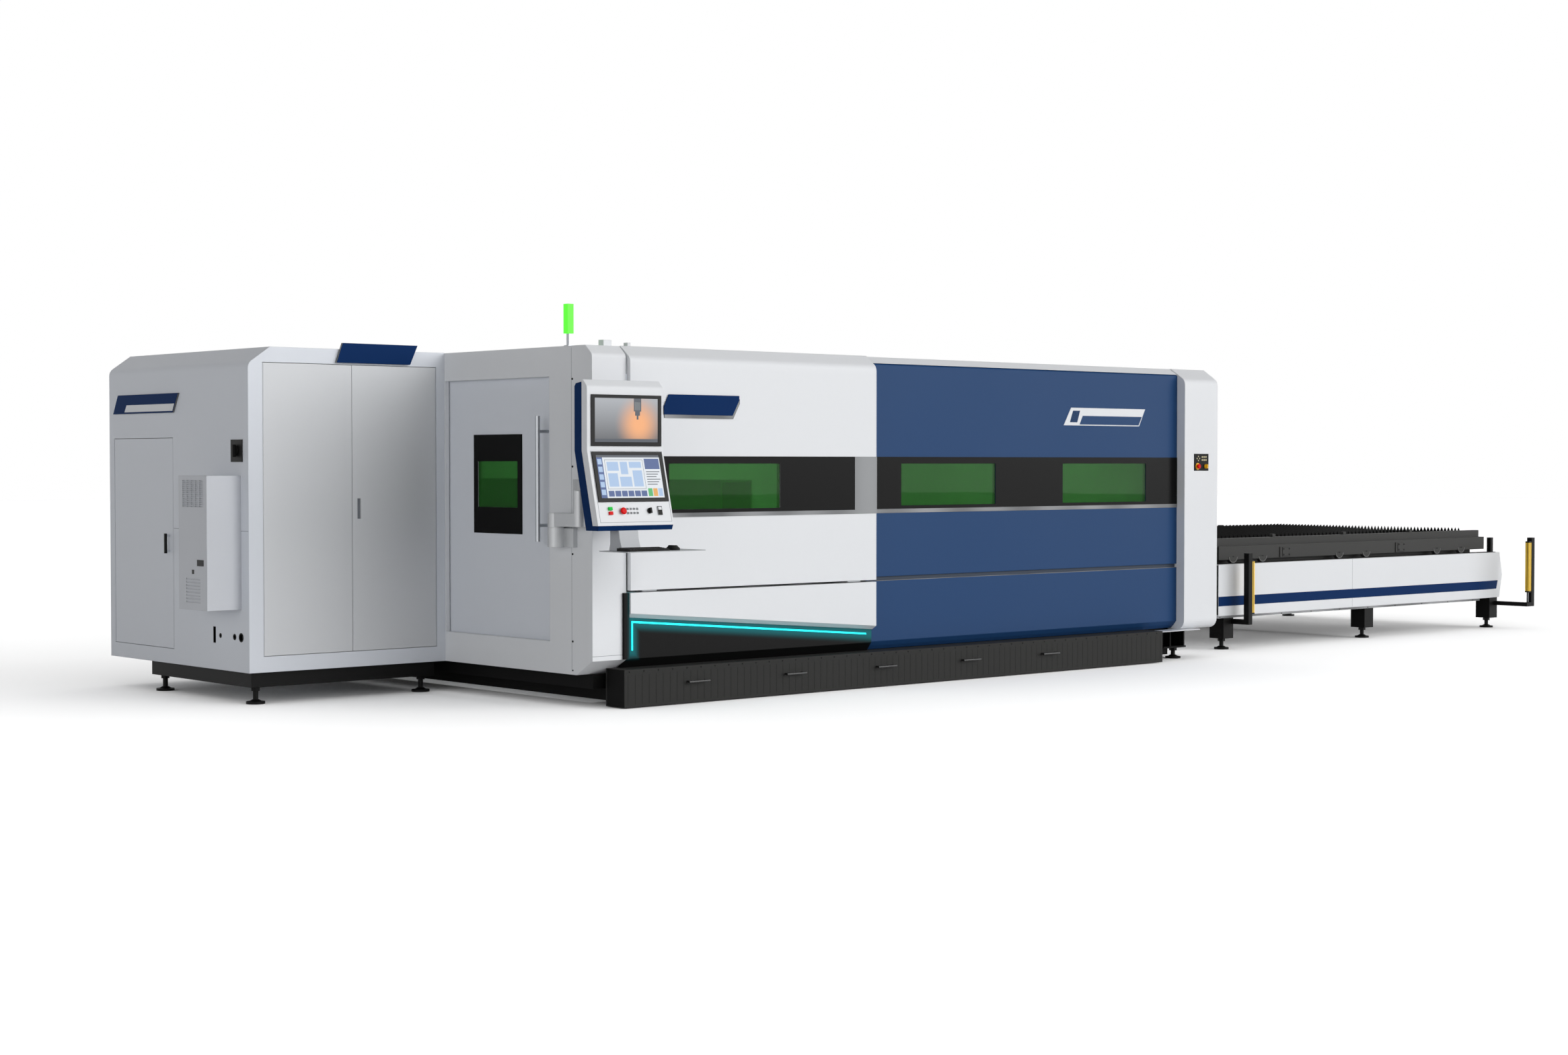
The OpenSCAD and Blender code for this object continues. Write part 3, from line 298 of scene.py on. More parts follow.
finishOf = {
    "whiteCoat": ["gantry_beam", "lower_front_panel", "roof_panel", "portal_frame", "front_door",
                  "console_front", "end_panel", "table_panels"],
    "bluishShadedCoat": ["carriage", "rear_panel", "end_door", "cabinet_shell", "access_door"],
    "shadedCoolerCoat": ["air_conditioner"],
    "doorCoat": ["left_cabinet_door", "right_cabinet_door"],
    "armCoat": ["arm_bracket", "swing_arm"],
    "trayCoat": ["keyboard_tray"],
    "blueCoat": ["fixed_front_panel"],
    "consoleNavy": ["console_rear"],
    "blackCoat": ["cabinet_base", "table_frame", "light_curtain_posts", "levelling_feet", "column_plate"],
    "handleBlack": ["plinth_handles"],
    "glowPaintedBlack": ["light_panel"],
    "darkSteel": ["plinth_cover", "laser_source"],
    "bedSteel": ["bed_frame"],
    "tableSteel": ["pallet_frame"],
    "slatSteel": ["pallet_slats"],
    "silverTrim": ["fixed_panel_trim", "front_door_trim"],
    "brightSteel": ["end_door_handle", "signal_mast", "cutting_head"],
    "wheelSteel": ["pallet_wheels"],
    "guardGlass": ["fixed_panel_windows", "front_door_window", "end_door_window"],
    "bandGlass": ["fixed_panel_glass", "front_door_glass", "end_door_glass"],
    "lampGreen": ["signal_lamp"],
    "ledCyan": ["light_strip"],
    "curtainYellow": ["light_curtains"],
    "switchYellow": ["column_switch"],
    "buttonRed": ["column_stop_button", "stop_button", "console_stop_button"],
    "buttonGreen": ["start_button"],
    "bezelBlack": ["upper_monitor", "touch_screen"],
    "blackPlastic": ["mode_knob", "keyboard", "mouse", "power_switch_plate", "power_switch_knob"],
}
for look, nodes in finishOf.items():
    for name in nodes:
        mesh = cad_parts[name].data
        mesh.materials.clear()
        mesh.materials.append(looks[look])
print("finishes on", sum(len(n) for n in finishOf.values()), "pieces")


# small shapes for what the solids leave out
def finishMesh(name, bm, finishes, body):
    bmesh.ops.recalc_face_normals(bm, faces=bm.faces)
    mesh = bpy.data.meshes.new(name)
    bm.to_mesh(mesh)
    bm.free()
    for look in finishes:
        mesh.materials.append(looks[look])
    piece = bpy.data.objects.new(name, mesh)
    bpy.context.collection.objects.link(piece)
    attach(piece, body)
    return piece


def addBlock(bm, low, high, index=0, turn=None):
    low, high = Vector(low), Vector(high)
    size, mid = high - low, (high + low) / 2
    grid = Matrix.Translation(mid) @ Matrix.Diagonal((*size, 1.0))
    made = bmesh.ops.create_cube(bm, size=1.0, matrix=grid if turn is None else turn @ grid)
    for face in {f for v in made["verts"] for f in v.link_faces}:
        face.material_index = index


def addPlate(bm, outline, lay, start, end, index=0):
    # an outline of two sizes in millimetres, drawn along the third axis from start to end
    order = {"x": lambda p, t: spot(t, p[0], p[1]), "y": lambda p, t: spot(p[0], t, p[1]),
             "z": lambda p, t: spot(p[0], p[1], t)}[lay]
    near = [bm.verts.new(order(p, start)) for p in outline]
    far = [bm.verts.new(order(p, end)) for p in outline]
    faces = [bm.faces.new(near), bm.faces.new(far[::-1])]
    for i in range(len(outline)):
        j = (i + 1) % len(outline)
        faces.append(bm.faces.new((near[j], near[i], far[i], far[j])))
    for face in faces:
        face.material_index = index


layTurn = {"x": Matrix.Rotation(math.radians(-90), 4, "Y"), "y": Matrix.Rotation(math.radians(90), 4, "X"),
           "z": Matrix.Identity(4)}  # lays an upright axis along x, y or z


def addDisc(bm, centre, radius, height, lay, index=0, sides=32):
    place = Matrix.Translation(centre) @ layTurn[lay]
    made = bmesh.ops.create_cone(bm, cap_ends=True, segments=sides, radius1=radius / 1000,
                                 radius2=radius / 1000, depth=height / 1000, matrix=place)
    for face in {f for v in made["verts"] for f in v.link_faces}:
        face.material_index = index


def addRing(bm, centre, inner, outer, height, lay, index=0, sides=32):
    place = Matrix.Translation(centre) @ layTurn[lay]
    loops = []
    for radius, level in ((inner, -0.5), (outer, -0.5), (outer, 0.5), (inner, 0.5)):
        loop = []
        for i in range(sides):
            a = 2 * math.pi * i / sides
            point = Vector((radius * math.cos(a), radius * math.sin(a), level * height)) / 1000
            loop.append(bm.verts.new(place @ point))
        loops.append(loop)
    for k in range(4):
        one, two = loops[k], loops[(k + 1) % 4]
        for i in range(sides):
            j = (i + 1) % sides
            bm.faces.new((one[i], one[j], two[j], two[i])).material_index = index


# bare sign plates where the real machine carries words: each stands on a wall and has a coloured plate
signs = {
    "hood": {"outline": [(587, 1995), (1185, 1995), (1185, 1966), (1127, 1864), (548, 1865), (548, 1916)],
             "wall": -32, "face": -38, "plate": 2, "shadow": 22, "lean": 0.3},
    "fixed": {"outline": [(4558, 1972), (5424, 1972), (5352, 1838), (4475, 1838)],
              "field": [(4690, 1912), (5384, 1912), (5345, 1846), (4655, 1846)],
              "mark": [(4580, 1950), (4660, 1950), (4628, 1862), (4545, 1862)],
              "wall": 43, "plate": 2, "inlay": 0.6},
    "roof": {"outline": [(-806, 2340), (-229, 2340), (-288, 2210), (-852, 2210)],
             "wall": 1648, "face": 1630, "plate": 2},
    "side": {"outline": [(3431, 2020), (2562, 2020), (2639, 1891), (3504, 1891)],
             "field": [(3300, 1950), (2612, 1950), (2638, 1902), (3332, 1902)],
             "wall": -1491, "face": -1503, "plate": 2, "inlay": 0.6},
}


def makeSigns():
    hood, fixed, roof, side = (signs[name] for name in ("hood", "fixed", "roof", "side"))
    bm = bmesh.new()
    addPlate(bm, hood["outline"], "y", hood["face"] - hood["plate"], hood["face"], 1)
    drop = [(x + hood["shadow"] * hood["lean"], z - hood["shadow"]) for x, z in hood["outline"]]
    addPlate(bm, drop, "y", hood["face"], hood["wall"], 0)
    finishMesh("hoodSign", bm, ["silverTrim", "navyCoat"], "hood")
    bm = bmesh.new()
    front = fixed["wall"] - fixed["plate"]
    addPlate(bm, fixed["outline"], "y", front, fixed["wall"], 0)
    for outline in (fixed["field"], fixed["mark"]):
        addPlate(bm, outline, "y", front - fixed["inlay"], front, 1)
    finishMesh("fixedPanelSign", bm, ["whiteCoat", "blueCoat"], "machine")
    bm = bmesh.new()
    addPlate(bm, roof["outline"], "y", roof["face"], roof["wall"], 0)
    addPlate(bm, roof["outline"], "y", roof["face"] - roof["plate"], roof["face"], 1)
    finishMesh("cabinetRoofSign", bm, ["silverTrim", "navyCoat"], "machine")
    bm = bmesh.new()
    front = side["face"] - side["plate"]
    addPlate(bm, side["outline"], "x", side["face"], side["wall"], 0)
    addPlate(bm, side["outline"], "x", front, side["face"], 1)
    addPlate(bm, side["field"], "x", front - side["inlay"], front, 2)
    finishMesh("cabinetSideSign", bm, ["silverTrim", "navyCoat", "whiteCoat"], "machine")


makeSigns()
print("sign plates made")

# joints between sheets, drawn as thin dark lines: start, end, the way a line is wide, the way it stands out
seams = {"width": 2.4, "proud": 0.3, "lines": {
    "endWall": ((0, 215, 230), (0, 215, 2285), (0, 1, 0), (-1, 0, 0)),
    "lowerFront": ((0, 0, 334), (270, 0, 334), (0, 0, 1), (0, -1, 0)),
    "cabinetSide": ((-1491, 1655, 1117), (-1491, 2655, 1117), (0, 0, 1), (-1, 0, 0)),
    "tablePanel": ((8623, 345, 290), (8623, 345, 712), (1, 0, 0), (0, -1, 0)),
    "portalSide": ((6229, 180, 925), (6229, 180, 2230), (0, 1, 0), (1, 0, 0)),
}}


def makeSeams():
    bm = bmesh.new()
    for start, end, wide, out in seams["lines"].values():
        half, rise = Vector(wide) * seams["width"] / 2, Vector(out) * seams["proud"]
        first, last = Vector(start) - half, Vector(end) + half
        ends = (first, last, first + rise, last + rise)
        low, high = ([pick(p[k] for p in ends) for k in range(3)] for pick in (min, max))
        addBlock(bm, spot(*low), spot(*high))
    finishMesh("sheetSeams", bm, ["seamGrey"], "machine")


makeSeams()

# navy stripe along the table's front and rear panels, which bend back at the right end
stripe = {"low": 368, "high": 447, "left": 6740, "right": 10650, "front": 345, "rear": 2845, "thick": 0.8,
          "bend": 10655, "radius": 2300.0, "reach": 320, "slant": 22, "steps": 12}


def stripeFace(x):
    face, radius, past = stripe["front"] - stripe["thick"], stripe["radius"], x - stripe["bend"]
    return face + radius - math.sqrt(radius ** 2 - past ** 2) if past > 0 else face


def makeStripe():
    bm = bmesh.new()
    left, right, low, high = (stripe[name] for name in ("left", "right", "low", "high"))
    outline = [(left, low), (right, low), (right, high), (left, high)]
    addPlate(bm, outline, "y", stripe["front"] - stripe["thick"], stripe["front"])
    addPlate(bm, outline, "y", stripe["rear"], stripe["rear"] + stripe["thick"])
    places = [right + stripe["reach"] * i / stripe["steps"] for i in range(stripe["steps"] + 1)]
    for mirrored in (False, True):
        for x0, x1 in zip(places, places[1:]):
            corners = []
            for x, z in ((x0, low), (x1, low), (x1, high), (x0, high)):
                y = stripe["front"] + stripe["rear"] - stripeFace(x) if mirrored else stripeFace(x)
                slant = stripe["slant"] * (x - right) / stripe["reach"] if z == high else 0
                corners.append(bm.verts.new(spot(x + slant, y, z)))
            bm.faces.new(corners)
    finishMesh("tableStripe", bm, ["navyCoat"], "machine")


makeStripe()

# dark liner in the hood's track on the fixed panel, and a black sheet over the plinth's left end: painted
# shade for the dark gap there
track = {"low": 731.05, "high": 757.5, "front": 44.0, "back": 62.4, "left": 2460, "right": 5816, "wall": 0.6,
         "sheet": 0.15}  # the hood's runners pass 0.3 mm above the track, so the liner is thinner than that
endShadeSheet = {"thick": 0.0008, "front": 0.004, "depth": 0.18, "edge": 0.002}  # metres, from the plinth's own box


def makeLiners():
    bm = bmesh.new()
    left, right, back = track["left"], track["right"], track["back"]
    top = track["low"] + track["sheet"]
    addBlock(bm, spot(left, track["front"], track["low"]), spot(right, back, top))
    addBlock(bm, spot(left, back - track["wall"], top), spot(right, back, track["high"]))
    finishMesh("trackLiner", bm, ["slateGrey"], "machine")
    # black sheet on the plinth's left end: painted shade
    bm = bmesh.new()
    low, high = (Vector(v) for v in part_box("plinth_cover"))
    addBlock(bm, (low.x - endShadeSheet["thick"], low.y + endShadeSheet["front"], low.z + endShadeSheet["edge"]),
             (low.x, low.y + endShadeSheet["depth"], high.z - endShadeSheet["edge"]))
    finishMesh("plinthEndCap", bm, ["bedSteel"], "machine")


makeLiners()
print("seams, stripe and liners made")


# rows of rivets, screws, lines and slats are laid out by node trees with named inputs
def rowTree(name, sizeInputs):
    tree = bpy.data.node_groups.new(name, "GeometryNodeTree")
    tree.interface.new_socket("Geometry", in_out="OUTPUT", socket_type="NodeSocketGeometry")
    common = [("Start", "NodeSocketVector"), ("Step", "NodeSocketVector"), ("Count", "NodeSocketInt"),
              ("Turn", "NodeSocketVector"), ("Finish", "NodeSocketMaterial")]
    names = {}
    for label, kind in common + sizeInputs:
        names[label] = tree.interface.new_socket(label, in_out="INPUT", socket_type=kind).identifier
    given = addNode(tree, "NodeGroupInput").outputs
    line = addNode(tree, "GeometryNodeMeshLine", {"mode": "OFFSET"},
                   {"Count": given["Count"], "Start Location": given["Start"], "Offset": given["Step"]})
    if "Radius" in names:
        single = addNode(tree, "GeometryNodeMeshCylinder", {"Vertices": 12},
                         {"Radius": given["Radius"], "Depth": given["Height"]})
    elif "Size" in names:
        single = addNode(tree, "GeometryNodeMeshCube", {}, {"Size": given["Size"]})
    else:
        single = addNode(tree, "GeometryNodeObjectInfo", {}, {"Object": given["Piece"]})
    shape = single.outputs["Geometry" if "Piece" in names else "Mesh"]
    turn = addNode(tree, "FunctionNodeEulerToRotation", {}, {"Euler": given["Turn"]})
    copies = addNode(tree, "GeometryNodeInstanceOnPoints", {},
                     {"Points": line.outputs["Mesh"], "Instance": shape,
                      "Rotation": turn.outputs["Rotation"]})
    real = addNode(tree, "GeometryNodeRealizeInstances", {}, {"Geometry": copies.outputs["Instances"]})
    paint = addNode(tree, "GeometryNodeSetMaterial", {},
                    {"Geometry": real.outputs["Geometry"], "Material": given["Finish"]})
    addNode(tree, "NodeGroupOutput", {}, {"Geometry": paint.outputs["Geometry"]})
    return tree, names


headTree, headNames = rowTree("fastenerRow", [("Radius", "NodeSocketFloat"), ("Height", "NodeSocketFloat")])
lineTree, lineNames = rowTree("lineRow", [("Size", "NodeSocketVector")])
combTree, combNames = rowTree("combRow", [("Piece", "NodeSocketObject")])


def rowMesh(tree, names, values):
    carrier = bpy.data.objects.new("rowCarrier", bpy.data.meshes.new("rowCarrier"))
    bpy.context.collection.objects.link(carrier)
    modifier = carrier.modifiers.new("row", "NODES")
    modifier.node_group = tree
    for label, value in values.items():
        modifier[names[label]] = value
    graph = bpy.context.evaluated_depsgraph_get()
    mesh = bpy.data.meshes.new_from_object(carrier.evaluated_get(graph), depsgraph=graph)
    carrier.modifiers.clear()
    bpy.data.objects.remove(carrier)
    return mesh


def makeRows(name, rows, look, body):
    bm = bmesh.new()
    for row in rows:
        values = {"Start": spot(*row["start"]), "Step": Vector(row["step"]) / 1000, "Count": row["count"],
                  "Turn": [math.radians(a) for a in row.get("turn", (0, 0, 0))], "Finish": looks[look]}
        if "radius" in row:
            values.update(Radius=row["radius"] / 1000, Height=row["height"] / 1000)
            bm.from_mesh(rowMesh(headTree, headNames, values))
        else:
            values["Size"] = Vector(row["size"]) / 1000
            bm.from_mesh(rowMesh(lineTree, lineNames, values))
    for face in bm.faces:
        face.material_index = 0
    return finishMesh(name, bm, [look], body)


rivet = {"radius": 4.5, "height": 3, "turn": (90, 0, 0)}  # on a face to the front
wallScrew = {"radius": 7, "height": 3, "turn": (0, 90, 0)}  # on a face to the left
lowScrew = {"radius": 5, "height": 3, "turn": (0, 90, 0)}
panelScrew = {"radius": 5, "height": 4, "turn": (90, 0, 0)}
plinthRows = [{"start": (215, -101, 233), "step": (118, 0, 0), "count": 45, **rivet}]
plinthLines = [{"start": (205, -100, 118), "step": (57, 0, 0), "count": 93, "size": (2.0, 0.8, 190)}]
wallScrews = [
    {"start": (-1, 204, 420), "step": (0, 0, 555.3), "count": 4, **wallScrew},
    {"start": (-1, 204, 236), "step": (0, 0, 0), "count": 1, **lowScrew},
    {"start": (6760, 346, 277), "step": (420, 0, 0), "count": 10, **panelScrew},
]
makeRows("plinthRivets", plinthRows, "blackCoat", "machine")
makeRows("plinthFoldLines", plinthLines, "blackCoat", "machine")
makeRows("wallScrews", wallScrews, "blackPlastic", "machine")
print("fastener rows made")

# console: lit screens with a plain layout, key caps, the outline of the lower plate
desk = {"place": (0, -330, 1629), "tilt": 13.476}
deskLean = Matrix.Rotation(math.radians(-desk["tilt"]), 4, "X")
deskTurn = Matrix.Translation(spot(*desk["place"])) @ deskLean


def onDesk(bm, x0, x1, s0, s1, low, high, index=0):
    # x along the desk, s down its slope and low to high out of its face
    addBlock(bm, Vector((x0, -high, -s1)) / 1000, Vector((x1, -low, -s0)) / 1000, index, deskTurn)


# fields of a picture: left, right and lower, upper end, or along the slope for the lower screen
upper = {"x": (-233, 259), "z": (1682, 1952), "face": -335.0, "glass": 0.4, "sheet": 0.2, "footer": 20,
         "nozzle": ((70, 128, 1872, 1952), (80, 118, 1846, 1872), (92, 106, 1822, 1846)),
         "badge": (76, 122, 1880, 1930)}
lower = {"x": (-233, 259), "s": (29, 299), "face": 5.0, "glass": 0.3, "sheet": 0.2, "header": 15,
         "menu": -187, "menuKeys": {"first": (-226, -194, 54, 88), "down": 48, "count": 5},
         "border": ((-172, 124, 58, 60), (-172, 124, 242, 244), (-172, -170, 58, 244), (122, 124, 58, 244)),
         "cuts": ((-158, -70, 72, 128), (-56, 0, 72, 150), (14, 108, 72, 110), (-158, -84, 144, 228),
                  (-70, 20, 166, 228), (34, 108, 126, 228)),
         "status": (136, 252, 52, 118),
         "lines": {"first": (140, 246, 132, 137), "down": 16, "shorter": 14, "count": 6},
         "lamps": {"first": (136, 170, 240, 290), "across": 40},
         "keys": {"first": (-174, -130, 254, 290), "across": 51, "count": 6}}


def makeScreens():
    bm = bmesh.new()
    (x0, x1), (z0, z1) = upper["x"], upper["z"]
    glass = upper["face"] - upper["glass"]
    ink = glass - upper["sheet"]
    addBlock(bm, spot(x0, glass, z0), spot(x1, upper["face"], z1), 0)
    for a, b, low, high in ((x0, x1, z0, z0 + upper["footer"]), *upper["nozzle"]):
        addBlock(bm, spot(a, ink, low), spot(b, glass, high), 1)
    a, b, low, high = upper["badge"]
    addBlock(bm, spot(a, ink - upper["sheet"], low), spot(b, ink, high), 2)
    finishMesh("upperPicture", bm, ["cuttingView", "tileInk", "keyGrey"], "console")
    bm = bmesh.new()
    (x0, x1), (s0, s1), top = lower["x"], lower["s"], lower["s"][0] + lower["header"]
    glass = lower["face"] + lower["glass"]
    onDesk(bm, x0, x1, s0, s1, lower["face"], glass, 0)
    fields = [((x0, x1, s0, top), 1), ((x0, lower["menu"], top, s1), 2), (lower["status"], 2)]
    fields += [(field, 1) for field in lower["border"]] + [(field, 3) for field in lower["cuts"]]
    a, b, c, d = lower["lines"]["first"]
    for i in range(lower["lines"]["count"]):
        short, down = lower["lines"]["shorter"] * (i % 3), lower["lines"]["down"] * i
        fields.append(((a, b - short, c + down, d + down), 1))
    a, b, c, d = lower["lamps"]["first"]
    for i, index in enumerate((4, 5, 3)):  # green, amber, sky
        across = lower["lamps"]["across"] * i
        fields.append(((a + across, b + across, c, d), index))
    a, b, c, d = lower["keys"]["first"]
    for i in range(lower["keys"]["count"]):
        across = lower["keys"]["across"] * i
        fields.append(((a + across, b + across, c, d), 2))
    for field, index in fields:
        onDesk(bm, *field, glass, glass + lower["sheet"], index)
    a, b, c, d = lower["menuKeys"]["first"]
    for i in range(lower["menuKeys"]["count"]):
        down = lower["menuKeys"]["down"] * i
        onDesk(bm, a, b, c + down, d + down, glass + lower["sheet"], glass + 2 * lower["sheet"], 3)
    finishMesh("lowerPicture", bm, ["tilePale", "tileInk", "tileBlue", "tileSky", "tileGreen", "tileAmber"],
               "console")


makeScreens()

# sizes on the desk: x along it, s down its slope; the rocker's rows end with its inner and outer face
plate = {"x": (-267, 293), "s": (2, 452), "line": 2.5, "proud": 0.8}
keys = {"step": 25.0, "first": -45.0, "count": 4, "rows": (368, 394), "half": 6.0, "face": 4.0, "top": 5.2}
rocker = {"frame": (188, 222, 354, 410, 6.0, 6.8), "lever": (192, 218, 358, 377, 6.8, 8.0)}


def makeConsoleTrim():
    bm = bmesh.new()
    (x0, x1), (s0, s1), line = plate["x"], plate["s"], plate["line"]
    for field in ((x0, x1, s0, s0 + line), (x0, x1, s1 - line, s1), (x0, x0 + line, s0 + line, s1 - line),
                  (x1 - line, x1, s0 + line, s1 - line)):
        onDesk(bm, *field, 0.0, plate["proud"], 0)
    finishMesh("consolePlateOutline", bm, ["outlineGrey"], "console")
    bm = bmesh.new()
    half = keys["half"]
    for i in range(keys["count"]):
        for row in keys["rows"]:
            x = keys["first"] + keys["step"] * i
            onDesk(bm, x - half, x + half, row - half, row + half, keys["face"], keys["top"], 0)
    onDesk(bm, *rocker["frame"], 1)
    onDesk(bm, *rocker["lever"], 2)
    finishMesh("consoleKeyCaps", bm, ["keyGrey", "blackPlastic", "whiteCoat"], "console")


makeConsoleTrim()
print("console dressed")

# column plate: small keys and the yellow ring under the stop button
columnFace = {"y": -38.0, "proud": 1.2, "cross": (5985, 1590), "arm": 16, "crossKey": (5, 5),
              "block": (6034, 1602), "grid": (3, 2), "pitch": (23, 24), "blockKey": (7, 6),
              "ring": (5977, 1528), "inner": 12.5, "outer": 27.0, "thick": 1.6}


def addColumnKey(bm, x, z, half):
    y, (wide, tall) = columnFace["y"], half
    addBlock(bm, spot(x - wide, y - columnFace["proud"], z - tall), spot(x + wide, y, z + tall), 0)


def makeColumnKeys():
    bm = bmesh.new()
    arm, (x, z) = columnFace["arm"], columnFace["cross"]
    for dx, dz in ((0, arm), (0, -arm), (-arm, 0), (arm, 0)):
        addColumnKey(bm, x + dx, z + dz, columnFace["crossKey"])
    (x, z), (wide, tall), (across, down) = (columnFace[name] for name in ("block", "grid", "pitch"))
    for i in range(wide):
        for j in range(tall):
            addColumnKey(bm, x + across * i, z - down * j, columnFace["blockKey"])
    x, z = columnFace["ring"]
    inner, outer, thick = (columnFace[name] for name in ("inner", "outer", "thick"))
    addRing(bm, spot(x, columnFace["y"] - thick / 2, z), inner, outer, thick, "y", 1)
    finishMesh("columnKeys", bm, ["keyBeige", "switchYellow"], "machine")


makeColumnKeys()

# cabinet: display and switch of the cooling unit, grommets of the cable holes, grips of the doors
cooler = {"display": ((-1732.4, 1792, 896), (-1730, 1882, 935)),
          "switch": ((-1732.8, 1920, 843), (-1730, 1949, 870))}
grommets = {"side": -1491, "level": 432, "holes": ((2025, 11.0), (1839, 15.5), (1754, 25.0)),  # place, radius
            "wall": 1.4, "play": 0.2, "flange": 5, "depth": 22,
            "slotY": (2088, 2090, 2118, 2120), "slotZ": (381.2, 383, 485, 486.8), "slotProud": 1.2}
grips = {"pull": ((-686.5, 1661.8, 1185.5), (-661.5, 1662.9, 1318.5)),
         "x": (-1528, -1527, -1513), "y": (2709, 2710, 2724, 2725), "z": (948, 1081)}


def makeCabinetTrim():
    bm = bmesh.new()
    for low, high in cooler.values():
        addBlock(bm, spot(*low), spot(*high))
    finishMesh("coolerDisplay", bm, ["bezelBlack"], "machine")
    bm = bmesh.new()
    x, z, wall, depth = (grommets[name] for name in ("side", "level", "wall", "depth"))
    for y, radius in grommets["holes"]:
        addRing(bm, spot(x - wall / 2, y, z), radius - wall, radius + grommets["flange"], wall, "x")
        addRing(bm, spot(x + depth / 2, y, z), radius - wall, radius - grommets["play"], depth, "x")
    y0, y1, y2, y3 = grommets["slotY"]
    z0, z1, z2, z3 = grommets["slotZ"]
    for ya, yb, za, zb in ((y0, y1, z0, z3), (y2, y3, z0, z3), (y1, y2, z0, z1), (y1, y2, z2, z3)):
        addBlock(bm, spot(x - grommets["slotProud"], ya, za), spot(x + depth, yb, zb))
    finishMesh("cableGrommets", bm, ["blackPlastic"], "machine")
    bm = bmesh.new()
    low, high = grips["pull"]
    addBlock(bm, spot(*low), spot(*high))
    finishMesh("doorPullInlay", bm, ["seamGrey"], "right_door")
    bm = bmesh.new()
    (x0, x1, x2), (y0, y1, y2, y3), (z0, z1) = grips["x"], grips["y"], grips["z"]
    for xa, xb, ya, yb in ((x0, x1, y0, y3), (x1, x2, y0, y1), (x1, x2, y2, y3)):
        addBlock(bm, spot(xa, ya, z0), spot(xb, yb, z1))
    finishMesh("serviceGripCover", bm, ["blackPlastic"], "service_door")


makeCabinetTrim()
print("column and cabinet dressed")

# pallet: wheel rims below the web, bolts of the plates; the near and the far side are mirrored
pallet = {"start": 6852, "web": 430, "middle": 1595, "wheels": (190, 594, 1696, 2101, 3216, 3617),
          "axle": 777.0, "rim": 60.0, "band": 8.0, "hub": 14, "discProud": 2, "rimProud": 3,
          "nut": (5, 11), "nutDrop": 2, "plates": (829, 2548), "boltX": (56, 134), "boltZ": (770, 819),
          "bolt": 8, "boltHeight": 3, "boltOut": 5.5}


def halfRound(x, z, inner, outer, steps=14):
    angles = [math.radians(190 + 160 * i / steps) for i in range(steps + 1)]  # nearly the lower half
    curve = [(x + outer * math.cos(a), z + outer * math.sin(a)) for a in angles]
    return curve + [(x + inner * math.cos(a), z + inner * math.sin(a)) for a in reversed(angles)]


def makePalletTrim():
    far = 2 * pallet["middle"]
    bm = bmesh.new()
    z, rim, flank = pallet["axle"], pallet["rim"], pallet["rim"] - pallet["band"]
    for mirrored in (False, True):
        for offset in pallet["wheels"]:
            x = pallet["start"] + offset
            for proud, shape, index in (
                    (pallet["discProud"], halfRound(x, z, pallet["hub"], flank), 0),
                    (pallet["rimProud"], halfRound(x, z, flank, rim), 1),
                    (pallet["rimProud"], halfRound(x, z - pallet["nutDrop"], *pallet["nut"]), 2)):
                start, end = pallet["web"] - proud, pallet["web"]
                if mirrored:
                    start, end = far - end, far - start
                addPlate(bm, shape, "y", start, end, index)
    finishMesh("palletWheelRims", bm, ["tableSteel", "clampSteel", "blackPlastic"], "pallet")
    bm = bmesh.new()
    near = pallet["web"] - pallet["boltOut"]
    for first in pallet["plates"]:
        for dx in pallet["boltX"]:
            for z in pallet["boltZ"]:
                for y in (near, far - near):
                    centre = spot(pallet["start"] + first + dx, y, z)
                    addDisc(bm, centre, pallet["bolt"], pallet["boltHeight"], "y", 0, 12)
    finishMesh("palletPlateBolts", bm, ["blackPlastic"], "pallet")


makePalletTrim()

# slats with teeth at the photograph's pitch; the solids have about half as many
comb = {"first": 6942, "pitch": 55, "count": 68, "thick": 4, "tooth": 37, "plate": 798, "root": 905,
        "peak": 948, "bar": 14, "barHalf": 15, "side": 60, "reach": 20}


def makeSlats():
    low, high = (Vector(v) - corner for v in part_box("pallet_slats"))
    y0, y1 = low.y * 1000, high.y * 1000
    teeth = int((y1 - y0) / comb["tooth"])
    edge = (y1 - y0 - teeth * comb["tooth"]) / 2
    outline = [(y0, comb["plate"]), (y1, comb["plate"]), (y1, comb["root"])]
    for i in range(teeth):
        right = y1 - edge - i * comb["tooth"]
        outline += [(right, comb["root"]), (right - comb["tooth"] / 2, comb["peak"])]
    outline += [(y0 + edge, comb["root"]), (y0, comb["root"])]
    bm = bmesh.new()
    addPlate(bm, outline, "x", -comb["thick"] / 2, comb["thick"] / 2)
    mesh = bpy.data.meshes.new("singleSlat")
    bm.to_mesh(mesh)
    bm.free()
    single = bpy.data.objects.new("singleSlat", mesh)
    bpy.context.collection.objects.link(single)
    row = rowMesh(combTree, combNames, {
        "Start": Vector((comb["first"] / 1000, 0, 0)), "Step": Vector((comb["pitch"] / 1000, 0, 0)),
        "Count": comb["count"], "Turn": (0.0, 0.0, 0.0), "Finish": looks["slatSteel"], "Piece": single})
    bpy.data.objects.remove(single)
    bm = bmesh.new()
    bm.from_mesh(row)
    for face in bm.faces:
        face.material_index = 0
    last = comb["first"] + comb["pitch"] * (comb["count"] - 1)
    for y in (y0 + comb["side"], (y0 + y1) / 2, y1 - comb["side"]):
        addBlock(bm, spot(comb["first"] - comb["reach"], y - comb["barHalf"], comb["plate"] - comb["bar"]),
                 spot(last + comb["reach"], y + comb["barHalf"], comb["plate"]))
    piece = finishMesh("palletCombSlats", bm, ["slatSteel"], "pallet")
    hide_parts("pallet_slats")


makeSlats()

